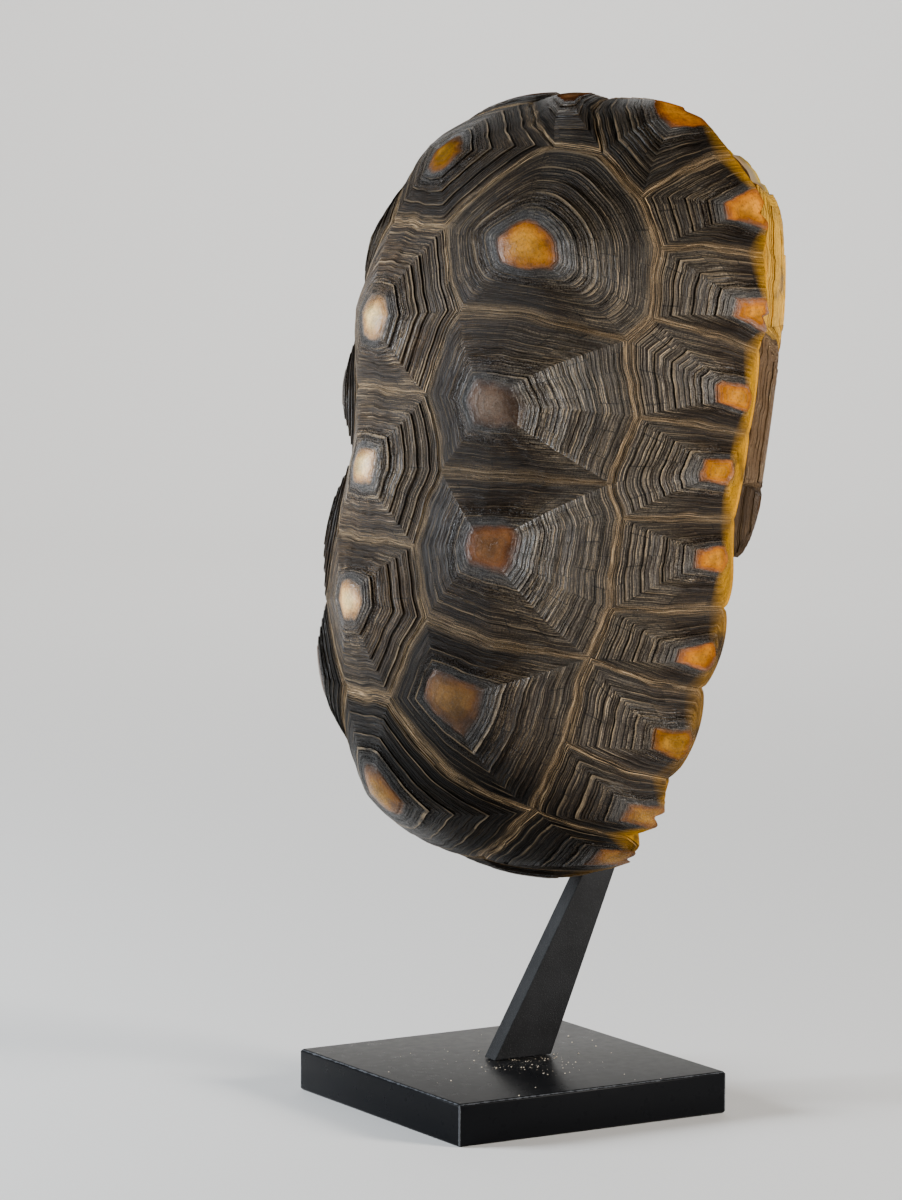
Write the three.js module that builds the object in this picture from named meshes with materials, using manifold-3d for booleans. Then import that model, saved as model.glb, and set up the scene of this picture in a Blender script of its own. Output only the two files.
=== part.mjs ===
// A tortoise's shell, dried and empty, held head end up on a leaning flat bar that stands on a square plate.
// Millimetres, +Z up. The origin is the middle of the plate's underside.
// +X is the side that the belly faces, and -Y is the animal's right side.
import * as THREE from 'three';
import { mergeVertices } from 'three/addons/utils/BufferGeometryUtils.js';
import Module from 'manifold-3d';

const wasm = await Module();
wasm.setup();

// the plate
const plateSide = 120;
const plateThick = 16.5;
const plateChamfer = 0.8;

// the bar: tapered and leaning outside the shell, then along the inside of the belly plate
const barThick = 8;
const barOffCentre = 4;
const barFootFrom = -7.4;
const barFootTo = 18.5;
const barBend = 90;
const barBendFrom = 34.5;
const barBendTo = 48.5;
const barInsideFrom = -112;
const barInsideTo = -50;
const barInsideWidth = 13;
const barClearance = 2.5;
const touchGap = 0.3;

// where the shell is held, and how far its head end leans toward the belly side
const shellX = 41.5;
const shellZ = 237.5;
const shellLean = 9.5;

// the back shield: half lengths from its middle, half width, the height of the crown
// over the rim, and the height that the same arch would have under it
const lengthToHead = 150;
const lengthToTail = 151;
const halfWidth = 91.5;
const crownHeight = 103;
const underHeight = 70;
const wall = 4;
const rimWall = 8;
const rimWallFrom = 68;
const rimWallTo = 86;
const lipDrop = 1.5;
const lipTuck = 1.2;
const rimBulge = 0.6;
const rearBulge = 1.8;
const rearBulgeSpan = [0.1, 0.4, 0.8, 0.84];

// how square the outline is toward the head and the tail, and how boxy the arch is lengthwise and crosswise
const planHead = 3.6;
const planTail = 2.2;
const archLong = 2.85;
const archAcross = 1.9;

// the belly plate: depth under the rim, how much of it is left at the tail and the head and where it fades,
// how boxy its cross section is, and its width as a share of the rim's
const bellyDepth = 32.5;
const tailShare = 0.58;
const tailFade = [10, 110];
const headShare = 0.85;
const headFade = [70, 135];
const bellyBox = 2.3;
const bellyInset = 0.98;

// relief of the horny plates
const vertebralHeights = [5, 8, 8, 8, 7];
const costalHeights = [6.5, 5.5, 3.5, 4];
const marginalHeight = 2.2;
const bellyHeight = 0.9;
const seamDepth = 1.3;
const ledgeDrop = 0.75;
const seamStep = 10.8;

// how wide the hatchling plates are from middle to edge, in degrees on the back and mm on the belly
const vertebralCore = 5.5;
const costalCore = 6;
const marginalCore = 3.5;
const bellyCore = 6;
const coreShareMost = 0.45;
const moundPower = 1.1;

// Corners of the horny plates on the right side, in degrees seen from the middle of the rim's plane:
// [toward the head, toward the side], measured from the crown. The left side mirrors them.
const ridge = [[58.6, 25], [43.5, 10.7], [30, 23.5], [14, 15], [-1, 18.7], [-17, 15.5], [-30, 19.3],
  [-43.5, 8], [-66, 28]];
const flank = [[60, 32], [57.3, 40], [52.7, 46.5], [41.7, 52.6], [35.5, 50.8], [20.7, 59.7], [1.8, 58.2],
  [-7.2, 61.4], [-30.3, 57.6], [-40.3, 50.8], [-55.3, 40.4]];
const rim = [[76.5, 0], [77, 14], [75.7, 41.5], [66.9, 59.5], [49.7, 74.5], [26.8, 85.5], [-4, 88.8], [-34.7, 83.2],
  [-55.9, 69.5], [-74, 50.7], [-81.5, 33.5], [-90, 16], [-90.5, 0]];
const prongs = [[-83.9, 36.4], [-87.4, 31.2]];
const brow = [70.5, 0];
const tail = [-75, 6];

// the crown line sways to the left toward the head, by this many degrees, and fades toward the flanks
const sway = -6.5;
const swayAhead = [5, 30];
const swayAside = [20, 50];

// each plate's corners, and the hatchling plate that its growth rings run round
const vertebrals = [
  { corners: [brow, ridge[0], ridge[1]], core: [54, 0] },
  { corners: [ridge[1], ridge[2], ridge[3]], core: [25.5, 0] },
  { corners: [ridge[3], ridge[4], ridge[5]], core: [-2.5, 0] },
  { corners: [ridge[5], ridge[6], ridge[7]], core: [-27, 0] },
  { corners: [ridge[7], ridge[8], tail], core: [-57, 0] },
];
const costals = [
  { corners: [ridge[0], ridge[1], ridge[2], flank[4], flank[3], flank[2], flank[1], flank[0]], core: [40.4, 32] },
  { corners: [ridge[2], ridge[3], ridge[4], flank[6], flank[5], flank[4]], core: [14, 32] },
  { corners: [ridge[4], ridge[5], ridge[6], flank[9], flank[8], flank[7], flank[6]], core: [-16, 33.7] },
  { corners: [ridge[6], ridge[7], ridge[8], flank[10], flank[9]], core: [-42.8, 24.4] },
];
const marginals = [
  { corners: [brow, rim[0], rim[1], flank[0], ridge[0]], core: [73.5, 9] },
  { corners: [flank[0], rim[1], rim[2], flank[1]], core: [77, 32] },
  { corners: [flank[1], rim[2], rim[3], flank[2]], core: [69, 52] },
  { corners: [flank[2], rim[3], rim[4], flank[3]], core: [54.5, 67.5] },
  { corners: [flank[3], rim[4], rim[5], flank[5], flank[4]], core: [34.5, 76.5] },
  { corners: [flank[5], rim[5], rim[6], flank[7], flank[6]], core: [11.5, 81.5] },
  { corners: [flank[7], rim[6], rim[7], flank[8]], core: [-17.6, 82] },
  { corners: [flank[8], rim[7], rim[8], flank[9]], core: [-46, 72] },
  { corners: [flank[9], rim[8], rim[9], flank[10]], core: [-64, 57.5] },
  { corners: [flank[10], rim[9], prongs[0], rim[10], ridge[8]], core: [-76.5, 40.5] },
  { corners: [ridge[8], rim[10], prongs[1], rim[11], tail], core: [-84.5, 24] },
];
const supracaudal = { corners: [tail, rim[11], rim[12]], core: [-86, 0] };

// Corners of the belly plates on the right side, in mm: [toward the head, toward the side].
// A single number is a place on the rim, in degrees round from the head.
const belly = [
  { corners: [[137, 0], [137, 12], [131, 31], [104, 0]], core: [126, 12] },
  { corners: [[104, 0], [131, 31], [122, 49], [110, 60], [58, 0]], core: [93, 32] },
  { corners: [[58, 0], [110, 60], 31, 52, [54, 50], [44, 0]], core: [74, 54] },
  { corners: [[44, 0], [54, 50], 52, 62, 73, 84, [6, 53], [-28, 0]], core: [16, 42] },
  { corners: [[6, 53], 84, 94, 103, [-15, 88], [-9, 86], [-3, 82], [-3, 75], [-14, 49]], core: [3, 80] },
  { corners: [[-28, 0], [6, 53], [-14, 49], [-94, 40], [-84, 0]], core: [-56, 26] },
  { corners: [[-84, 0], [-94, 40], [-120, 27], [-109, 0]], core: [-100, 20] },
];

const radians = THREE.MathUtils.degToRad;
const { lerp, smoothstep } = THREE.MathUtils;

// distance from the middle to the outline of the rim, in the direction round from the head
function planRadius(round) {
  const along = Math.abs(Math.cos(round));
  const across = Math.abs(Math.sin(round));
  const length = Math.cos(round) > 0 ? lengthToHead : lengthToTail;
  const square = planTail + (planHead - planTail) * (0.5 + 0.5 * Math.cos(round));
  return ((along / length) ** square + (across / halfWidth) ** square) ** (-1 / square);
}

// a point of the back shield: x to the animal's right, y to the head, z out of the back
function backPoint([ahead, evenAside], lift) {
  const swayHere = sway * smoothstep(ahead, ...swayAhead) * (1 - smoothstep(Math.abs(evenAside), ...swayAside));
  const aside = evenAside + swayHere;
  const down = radians(Math.hypot(ahead, aside));
  const round = Math.atan2(aside, ahead);
  const boxy = archLong * Math.cos(round) ** 2 + archAcross * Math.sin(round) ** 2;
  const flat = Math.sin(down) / planRadius(round);
  const high = Math.cos(down) > 0 ? crownHeight : underHeight;
  const reach = (flat ** boxy + (Math.abs(Math.cos(down)) / high) ** boxy) ** (-1 / boxy) + lift;
  return new THREE.Vector3(
    reach * Math.sin(down) * Math.sin(round),
    reach * Math.sin(down) * Math.cos(round),
    reach * Math.cos(down),
  );
}

// half the belly plate's full width at this distance toward the head, out to the rim
function bellyHalfWidth(ahead) {
  let inner = 0;
  let outer = halfWidth;
  for (let i = 0; i < 40; i += 1) {
    const x = (inner + outer) / 2;
    const y = ahead / bellyInset;
    if (Math.hypot(x, y) < planRadius(Math.atan2(x, y))) inner = x;
    else outer = x;
  }
  return inner * bellyInset;
}

// how deep the midline of the belly plate lies under the rim
function bellyDepthAt(ahead) {
  const towardTail = lerp(1, tailShare, smoothstep(-ahead, ...tailFade));
  const towardHead = lerp(1, headShare, smoothstep(ahead, ...headFade));
  return bellyDepth * towardTail * towardHead;
}

// a point of the belly plate, from mm toward the head and degrees round from the midline to the rim at 90
function bellyPoint([ahead, across], lift) {
  const turn = radians(Math.min(Math.abs(across), 90));
  const x = (bellyHalfWidth(ahead) + lift) * Math.sin(turn) ** (2 / bellyBox);
  const depth = (bellyDepthAt(ahead) + lift) * Math.cos(turn) ** (2 / bellyBox);
  return new THREE.Vector3(Math.sign(across) * x, ahead, -depth);
}

// a belly corner as mm toward the head and degrees round from the midline
function bellyPlace(corner) {
  if (typeof corner === 'number') {
    const round = radians(corner);
    return [planRadius(round) * Math.cos(round) * bellyInset, 90];
  }
  const [ahead, aside] = corner;
  const share = (aside / bellyHalfWidth(ahead)) ** (bellyBox / 2);
  return [ahead, THREE.MathUtils.radToDeg(Math.asin(share))];
}

const mirrored = ([ahead, aside]) => [ahead, -aside];
const same = (a, b) => Math.hypot(a[0] - b[0], a[1] - b[1]) < 1e-6;

// the whole outline of a plate that crosses the midline, from its right half
function bothHalves(corners) {
  const left = corners.map(mirrored).reverse();
  return [...corners, ...left].filter((corner, i, all) => !same(corner, all[(i + 1) % all.length]));
}

function signedArea(points) {
  return points.reduce((sum, p, i) => {
    const q = points[(i + 1) % points.length];
    return sum + (p[1] * q[0] - q[1] * p[0]) / 2;
  }, 0);
}

// the rim hangs lower over the hind legs, between the flank and the tail
function rearShare(round) {
  const [from, full, until, gone] = rearBulgeSpan;
  const towardTail = -Math.cos(round);
  return smoothstep(towardTail, from, full) * (1 - smoothstep(towardTail, until, gone));
}

// the points from one corner up to the next, the same ones seen from either side of the seam
function seamPoints(from, to, onRim) {
  const swap = from[0] < to[0] || (from[0] === to[0] && from[1] < to[1]);
  const [start, end] = swap ? [to, from] : [from, to];
  const steps = Math.max(2, Math.round(Math.hypot(start[0] - end[0], start[1] - end[1]) / seamStep));
  const points = [];
  for (let i = 0; i <= steps; i += 1) {
    const share = i / steps;
    if (onRim) {
      const turn = lerp(Math.hypot(...start), Math.hypot(...end), share);
      const first = Math.atan2(start[1], start[0]);
      let sweep = Math.atan2(end[1], end[0]) - first;
      if (sweep > Math.PI) sweep -= 2 * Math.PI;
      if (sweep < -Math.PI) sweep += 2 * Math.PI;
      const round = first + sweep * share;
      const bulge = (rimBulge + rearBulge * rearShare(round)) * Math.sin(Math.PI * share) ** 0.5;
      points.push([(turn + bulge) * Math.cos(round), (turn + bulge) * Math.sin(round)]);
    } else {
      points.push([lerp(start[0], end[0], share), lerp(start[1], end[1], share)]);
    }
  }
  points[0] = start;
  points[steps] = end;
  if (swap) points.reverse();
  return points.slice(0, -1);
}

// the outline of a plate, counter-clockwise seen from the crown, each point marked if it is on an open edge
function outlineOf(corners, isEdge) {
  const points = [];
  corners.forEach((corner, i) => {
    const next = corners[(i + 1) % corners.length];
    const edge = isEdge(corner, next);
    seamPoints(corner, next, edge && isEdge.round).forEach((place) => points.push({ place, edge }));
  });
  if (signedArea(points.map(({ place }) => place)) > 0) return points;
  const turned = points.reverse();
  return turned.map(({ place }, i) => ({ place, edge: turned[(i + 1) % turned.length].edge }));
}

// Triangles of a closed wall made of plates: stepped rings outside, fans inside, and a band along its open edge.
class Wall {
  constructor(place, inward, flip) {
    this.place = place;
    this.inward = inward;
    this.flip = flip;
    this.positions = [];
  }

  triangle(a, b, c) {
    const order = this.flip ? [a, c, b] : [a, b, c];
    order.forEach((p) => this.positions.push(p.x, p.y, p.z));
  }

  band(lower, upper) {
    lower.forEach((a, i) => {
      const j = (i + 1) % lower.length;
      this.triangle(a, upper[i], upper[j]);
      this.triangle(a, upper[j], lower[j]);
    });
  }

  addPlate(outline, core, coreSize, height, rings) {
    const middle = this.place(core, height);
    const toCore = outline.map(({ place }) => {
      const away = [place[0] - core[0], place[1] - core[1]];
      const share = Math.min(coreSize / Math.hypot(...away), coreShareMost);
      return [core[0] + away[0] * share, core[1] + away[1] * share];
    });
    const loops = rings.map(([share, drop]) => outline.map(({ place }, i) => {
      const spot = [0, 1].map((k) => lerp(toCore[i][k], place[k], share));
      const lift = share === 1 ? -seamDepth : height * (1 - share) ** moundPower + drop;
      return this.place(spot, lift);
    }));
    loops[0].forEach((p, i) => this.triangle(middle, p, loops[0][(i + 1) % outline.length]));
    for (let k = 1; k < loops.length; k += 1) this.band(loops[k - 1], loops[k]);

    const inside = outline.map(({ place }) => this.inward(place));
    const halfWay = outline.map(({ place }) => this.inward([(place[0] + core[0]) / 2, (place[1] + core[1]) / 2]));
    const insideMiddle = this.inward(core);
    this.band(inside, halfWay);
    halfWay.forEach((p, i) => this.triangle(insideMiddle, halfWay[(i + 1) % halfWay.length], p));
    this.closeEdge(outline, loops[loops.length - 1], inside);
  }

  closeEdge(outline, outside, inside) {
    outline.forEach(({ place, edge }, i) => {
      if (!edge) return;
      const j = (i + 1) % outline.length;
      const rows = [[outside[i], outside[j]], ...this.lipRows(place, outline[j].place), [inside[i], inside[j]]];
      for (let k = 1; k < rows.length; k += 1) {
        this.triangle(rows[k - 1][1], rows[k - 1][0], rows[k][0]);
        this.triangle(rows[k - 1][1], rows[k][0], rows[k][1]);
      }
    });
  }

  lipRows() {
    return [];
  }

  solid() {
    const loose = new THREE.BufferGeometry();
    loose.setAttribute('position', new THREE.Float32BufferAttribute(this.positions, 3));
    const geometry = mergeVertices(loose, 1e-3);
    const mesh = new wasm.Mesh({
      numProp: 3,
      vertProperties: new Float32Array(geometry.attributes.position.array),
      triVerts: new Uint32Array(geometry.index.array),
    });
    return new wasm.Manifold(mesh);
  }
}

// the rim hangs a little below the plane of the corners, and turns in under itself
class BackWall extends Wall {
  lipRows(from, to) {
    const lowered = (place, lift) => {
      const turn = Math.hypot(...place);
      const reach = planRadius(Math.atan2(place[1], place[0]));
      const share = 1 + THREE.MathUtils.radToDeg(lipDrop / reach) / turn;
      return backPoint([place[0] * share, place[1] * share], lift);
    };
    return [
      [lowered(from, -lipTuck), lowered(to, -lipTuck)],
      [lowered(from, -rimWall), lowered(to, -rimWall)],
    ];
  }
}

function backShield() {
  const inward = (place) => {
    const nearRim = smoothstep(Math.hypot(...place), rimWallFrom, rimWallTo);
    return backPoint(place, -lerp(wall, rimWall, nearRim));
  };
  const shield = new BackWall(backPoint, inward, false);
  const rimPlaces = [...rim, ...prongs].flatMap((place) => [place, mirrored(place)]);
  const onRim = (corner) => rimPlaces.some((place) => same(place, corner));
  const isEdge = (a, b) => onRim(a) && onRim(b);
  isEdge.round = true;

  // each pair is how far out a ring lies, and how much the surface steps down there
  const wideRings = [[0, 0], [0.26, 0.5], [0.32, -ledgeDrop], [0.58, 0.45], [0.64, -ledgeDrop], [0.9, 0.6], [1, 0]];
  const rimRings = [[0, 0], [0.45, 0.4], [0.53, -ledgeDrop], [0.88, 0.5], [1, 0]];
  vertebrals.forEach(({ corners, core }, i) => {
    shield.addPlate(outlineOf(bothHalves(corners), isEdge), core, vertebralCore, vertebralHeights[i], wideRings);
  });
  for (const side of [(place) => place, mirrored]) {
    costals.forEach(({ corners, core }, i) => {
      shield.addPlate(outlineOf(corners.map(side), isEdge), side(core), costalCore, costalHeights[i], wideRings);
    });
    marginals.forEach(({ corners, core }) => {
      shield.addPlate(outlineOf(corners.map(side), isEdge), side(core), marginalCore, marginalHeight, rimRings);
    });
  }
  const last = outlineOf(bothHalves(supracaudal.corners), isEdge);
  shield.addPlate(last, supracaudal.core, marginalCore, marginalHeight, rimRings);
  return shield.solid();
}

function bellyShield() {
  const shield = new Wall(bellyPoint, (place) => bellyPoint(place, -wall), true);
  const rows = belly.map(({ corners, core }) => ({ corners: corners.map(bellyPlace), core: bellyPlace(core) }));
  const key = (a, b) => [a, b].map((p) => p.map((x) => x.toFixed(4)).join()).sort().join(' ');
  const uses = new Map();
  rows.forEach(({ corners }) => corners.forEach((corner, i) => {
    const seam = key(corner, corners[(i + 1) % corners.length]);
    uses.set(seam, (uses.get(seam) ?? 0) + 1);
  }));
  const bare = ([ahead, aside]) => [ahead, Math.abs(aside)];
  const isEdge = (a, b) => {
    const middle = Math.abs(a[1]) + Math.abs(b[1]) < 1e-6;
    return !middle && uses.get(key(bare(a), bare(b))) === 1;
  };
  isEdge.round = false;
  const bellyRings = [[0, 0], [0.36, 0.1], [0.68, 0.2], [0.93, 0.4], [1, 0]];
  for (const side of [(place) => place, mirrored]) {
    rows.forEach(({ corners, core }) => {
      const outline = outlineOf(corners.map(side), isEdge);
      shield.addPlate(outline, side(core), bellyCore, bellyHeight, bellyRings);
    });
  }
  return shield.solid();
}

function geometryOf(solid) {
  const { vertProperties, triVerts } = solid.getMesh();
  const geometry = new THREE.BufferGeometry();
  geometry.setAttribute('position', new THREE.BufferAttribute(new Float32Array(vertProperties), 3));
  geometry.setIndex(new THREE.BufferAttribute(new Uint32Array(triVerts), 1));
  geometry.computeVertexNormals();
  return geometry;
}

function shellMesh() {
  const horn = new THREE.MeshStandardMaterial({ color: 0x3a2c1e, roughness: 0.45, metalness: 0 });
  const mesh = new THREE.Mesh(geometryOf(backShield().add(bellyShield())), horn);
  mesh.name = 'shell';
  return mesh;
}

// the shell's own axes in the stand's: right side to -Y, head up and leaning toward +X
function heldShell() {
  const lean = radians(shellLean);
  const right = new THREE.Vector3(0, -1, 0);
  const head = new THREE.Vector3(Math.sin(lean), 0, Math.cos(lean));
  const back = new THREE.Vector3(-Math.cos(lean), 0, Math.sin(lean));
  const holder = new THREE.Group();
  holder.quaternion.setFromRotationMatrix(new THREE.Matrix4().makeBasis(right, head, back));
  holder.position.set(shellX, 0, shellZ);
  holder.add(shellMesh());
  return holder;
}

function plateMesh() {
  const half = plateSide / 2 - plateChamfer;
  const square = new THREE.Shape();
  square.moveTo(-half, -half).lineTo(half, -half).lineTo(half, half).lineTo(-half, half).closePath();
  const geometry = new THREE.ExtrudeGeometry(square, {
    depth: plateThick - 2 * plateChamfer,
    bevelEnabled: true,
    bevelThickness: plateChamfer,
    bevelSize: plateChamfer,
    bevelSegments: 1,
  });
  const lacquer = new THREE.MeshStandardMaterial({ color: 0x15171b, roughness: 0.35, metalness: 0.2 });
  const mesh = new THREE.Mesh(geometry, lacquer);
  mesh.name = 'base';
  mesh.position.z = plateChamfer;
  return mesh;
}

// the point of the stand's XZ plane that is this far toward the head and out of the back of the shell
function insideShell(ahead, outward) {
  const lean = radians(shellLean);
  return [
    shellX + ahead * Math.sin(lean) - outward * Math.cos(lean),
    shellZ + ahead * Math.cos(lean) + outward * Math.sin(lean),
  ];
}

function barMesh() {
  const floorAt = (ahead) => -(bellyDepthAt(ahead) - wall) + barClearance;
  const outline = [
    [barFootFrom, plateThick + touchGap],
    [barFootTo, plateThick + touchGap],
    [barBendTo, barBend],
    insideShell(barInsideFrom, floorAt(barInsideFrom)),
    insideShell(barInsideTo, floorAt(barInsideTo)),
    insideShell(barInsideTo, floorAt(barInsideTo) + barInsideWidth),
    insideShell(barInsideFrom, floorAt(barInsideFrom) + barInsideWidth),
    [barBendFrom, barBend],
  ];
  const side = new THREE.Shape(outline.map(([x, z]) => new THREE.Vector2(x, z)));
  const geometry = new THREE.ExtrudeGeometry(side, { depth: barThick, bevelEnabled: false });
  const powderCoat = new THREE.MeshStandardMaterial({ color: 0x1b1d20, roughness: 0.7, metalness: 0.2 });
  const mesh = new THREE.Mesh(geometry, powderCoat);
  mesh.name = 'post';
  mesh.rotation.x = Math.PI / 2;
  mesh.position.y = barOffCentre + barThick / 2;
  return mesh;
}

const shellOnStand = new THREE.Group();
shellOnStand.add(plateMesh(), barMesh(), heldShell());

export default shellOnStand;
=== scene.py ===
# A dried tortoise shell held head end up on a leaning flat bar and a square plate.
import math
from types import SimpleNamespace

import bmesh
import bpy
import numpy as np
from mathutils import Matrix, Vector


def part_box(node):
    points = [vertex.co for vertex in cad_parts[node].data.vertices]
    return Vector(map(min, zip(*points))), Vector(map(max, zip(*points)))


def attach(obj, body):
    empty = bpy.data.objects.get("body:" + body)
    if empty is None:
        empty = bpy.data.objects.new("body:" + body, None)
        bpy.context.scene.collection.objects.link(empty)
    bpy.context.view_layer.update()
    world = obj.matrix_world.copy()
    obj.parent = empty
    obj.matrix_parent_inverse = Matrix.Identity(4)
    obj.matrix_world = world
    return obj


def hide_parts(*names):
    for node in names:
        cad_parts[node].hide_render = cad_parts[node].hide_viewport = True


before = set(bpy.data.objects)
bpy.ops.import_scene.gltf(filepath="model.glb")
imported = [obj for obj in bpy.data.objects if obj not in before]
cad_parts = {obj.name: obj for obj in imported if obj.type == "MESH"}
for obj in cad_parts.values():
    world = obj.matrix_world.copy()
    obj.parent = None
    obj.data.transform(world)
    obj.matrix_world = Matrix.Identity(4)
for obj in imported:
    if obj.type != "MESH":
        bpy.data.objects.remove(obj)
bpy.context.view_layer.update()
mm = 0.001

# ---- where the shell is held, in mm and degrees; +X is the belly side, -Y the animal's right
shellPlace = {"x": 41.5, "z": 237.5, "lean": 9.5}

backForm = {
    "toHead": 150, "toTail": 151, "halfWidth": 91.5, "crown": 103, "under": 70,
    "planHead": 3.6, "planTail": 2.2, "archLong": 2.85, "archAcross": 1.9,
    "wall": 4, "rimWall": 8, "rimWallSpan": (68, 86),
    "rimBulge": 0.6, "rearBulge": 1.8, "rearSpan": (0.1, 0.4, 0.8, 0.84), "lipDrop": 1.5, "lipTuck": 1.2,
    "lipSteps": ((0.75, -0.35), (1.0, -1.0), (1.1, -3.0), (1.1, -5.5)),
    "sway": -6.5, "swayAhead": (5, 30), "swayAside": (20, 50), "sink": 0.35,
    "seamDepth": 0.9, "seamWave": 0.22, "pointGap": 1.15,
}

bellyForm = {
    "depth": 32.1, "tailShare": 0.58, "tailFade": (10, 110), "headShare": 0.85, "headFade": (70, 135),
    "boxy": 2.3, "inset": 0.98, "wall": 4, "halvings": 40,
    "seamDepth": 0.8, "seamWave": 1.0, "pointGap": 2.6,
}

# corners of the horny plates on the right side, in degrees from the crown: (toward the head, toward the side)
ridge = [(58.6, 25), (43.5, 10.7), (30, 23.5), (14, 15), (-1, 18.7), (-17, 15.5), (-30, 19.3), (-43.5, 8),
         (-66, 28)]
flank = [(60, 32), (57.3, 40), (52.7, 46.5), (41.7, 52.6), (35.5, 50.8), (20.7, 59.7), (1.8, 58.2),
         (-7.2, 61.4), (-30.3, 57.6), (-40.3, 50.8), (-55.3, 40.4)]
rim = [(76.5, 0), (77, 14), (75.7, 41.5), (66.9, 59.5), (49.7, 74.5), (26.8, 85.5), (-4, 88.8), (-34.7, 83.2),
       (-55.9, 69.5), (-74, 50.7), (-81.5, 33.5), (-90, 16), (-90.5, 0)]
prongs = [(-83.9, 36.4), (-87.4, 31.2)]
brow = (70.5, 0)
tail = (-75, 6)

# colours of the hatchling plates
amber = (0.27, 0.125, 0.012)
honey = (0.42, 0.175, 0.012)
cream = (0.74, 0.50, 0.20)
rust = (0.165, 0.072, 0.026)
smoke = (0.095, 0.062, 0.042)
peach = (0.50, 0.19, 0.009)
gold = (0.58, 0.23, 0.006)
olive = (0.20, 0.095, 0.008)

# one row a plate: corners, middle of the hatchling plate, its colour, its size in degrees, how round it is
vertebralPlates = {
    "height": 7.0, "years": 5, "ledge": 0.8, "dome": 1.0, "rings": 28, "breaks": 5, "size": 3.1, "round": 0.6,
    "plates": [
        {"corners": [brow, ridge[0], ridge[1]], "core": (54, 0), "tint": olive, "size": 3.2, "height": 4.2},
        {"corners": [ridge[1], ridge[2], ridge[3]], "core": (25.5, 0), "tint": cream, "size": 3.5},
        {"corners": [ridge[3], ridge[4], ridge[5]], "core": (-2.5, 0), "tint": cream},
        {"corners": [ridge[5], ridge[6], ridge[7]], "core": (-27, 0), "tint": cream},
        {"corners": [ridge[7], ridge[8], tail], "core": (-57, 0), "tint": olive, "size": 3.6, "height": 5.8},
    ],
}
costalPlates = {
    "height": 7.0, "years": 6, "ledge": 1.1, "dome": 0.5, "rings": 36, "breaks": 9, "size": 4.4, "round": 0.2,
    "plates": [
        {"corners": [ridge[0], ridge[1], ridge[2], flank[4], flank[3], flank[2], flank[1], flank[0]],
         "core": (40.4, 32), "tint": honey, "size": 3.2, "round": 0.5, "soft": 1.0},
        {"corners": [ridge[2], ridge[3], ridge[4], flank[6], flank[5], flank[4]],
         "core": (14, 32), "tint": smoke, "height": 6.0, "size": 4.6},
        {"corners": [ridge[4], ridge[5], ridge[6], flank[9], flank[8], flank[7], flank[6]],
         "core": (-16, 33.7), "tint": rust, "height": 4.0},
        {"corners": [ridge[6], ridge[7], ridge[8], flank[10], flank[9]],
         "core": (-42.8, 24.4), "tint": (0.115, 0.055, 0.012), "height": 4.5, "size": 4.5},
    ],
}
marginalPlates = {
    "height": 2.0, "years": 5, "ledge": 0.6, "dome": 0.2, "rings": 24, "breaks": 5, "size": 3.9, "round": 0.2,
    "plates": [
        {"corners": [brow, rim[0], rim[1], flank[0], ridge[0]], "core": (73.5, 9), "tint": rust, "gold": 0.1},
        {"corners": [flank[0], rim[1], rim[2], flank[1]], "core": (75, 31), "tint": peach, "gold": 0.6},
        {"corners": [flank[1], rim[2], rim[3], flank[2]], "core": (70, 52.5), "tint": peach, "gold": 1},
        {"corners": [flank[2], rim[3], rim[4], flank[3]], "core": (55.5, 69), "tint": peach, "gold": 1},
        {"corners": [flank[3], rim[4], rim[5], flank[5], flank[4]], "core": (35, 78),
         "tint": peach, "gold": 1},
        {"corners": [flank[5], rim[5], rim[6], flank[7], flank[6]], "core": (11.5, 82.5),
         "tint": gold, "gold": 1},
        {"corners": [flank[7], rim[6], rim[7], flank[8]], "core": (-17.6, 83.2), "tint": peach, "gold": 0.8},
        {"corners": [flank[8], rim[7], rim[8], flank[9]], "core": (-47, 73.2), "tint": peach, "gold": 0.4},
        {"corners": [flank[9], rim[8], rim[9], flank[10]], "core": (-65.5, 58.5), "tint": amber, "gold": 0.3},
        {"corners": [flank[10], rim[9], prongs[0], rim[10], ridge[8]], "core": (-79, 42),
         "tint": amber, "gold": 0.9},
        {"corners": [ridge[8], rim[10], prongs[1], rim[11], tail], "core": (-86, 27),
         "tint": amber, "gold": 0.5},
    ],
    "tailPlate": {"corners": [tail, rim[11], rim[12]], "core": (-86, 0), "tint": olive, "gold": 0.2},
}
# corners in mm, or one number: degrees round the rim from the head
bellyPlates = {
    "height": 0.8, "years": 3, "ledge": 0.5, "dome": 0.0, "rings": 18, "breaks": 4, "size": 5, "round": 0.2,
    "wash": 0.85,
    "plates": [
        {"corners": [(137, 0), (137, 12), (131, 31), (104, 0)], "core": (126, 12),
         "tint": (0.96, 0.60, 0.045)},
        {"corners": [(104, 0), (131, 31), (122, 49), (110, 60), (58, 0)], "core": (93, 32),
         "tint": (1.0, 0.64, 0.050)},
        {"corners": [(58, 0), (110, 60), 31, 52, (54, 50), (44, 0)], "core": (74, 54),
         "tint": (0.64, 0.34, 0.030)},
        {"corners": [(44, 0), (54, 50), 52, 62, 73, 84, (6, 53), (-28, 0)], "core": (16, 42),
         "tint": (0.085, 0.045, 0.018)},
        {"corners": [(6, 53), 84, 94, 103, (-15, 88), (-9, 86), (-3, 82), (-3, 75), (-14, 49)],
         "core": (3, 80), "tint": (0.050, 0.028, 0.013)},
        {"corners": [(-28, 0), (6, 53), (-14, 49), (-94, 40), (-84, 0)], "core": (-56, 26),
         "tint": (0.070, 0.040, 0.017)},
        {"corners": [(-84, 0), (-94, 40), (-120, 27), (-109, 0)], "core": (-100, 20),
         "tint": (0.26, 0.13, 0.02)},
    ],
}


def smooth(x, low, high):
    t = np.clip((np.asarray(x, float) - low) / (high - low), 0, 1)
    return t * t * (3 - 2 * t)


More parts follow.
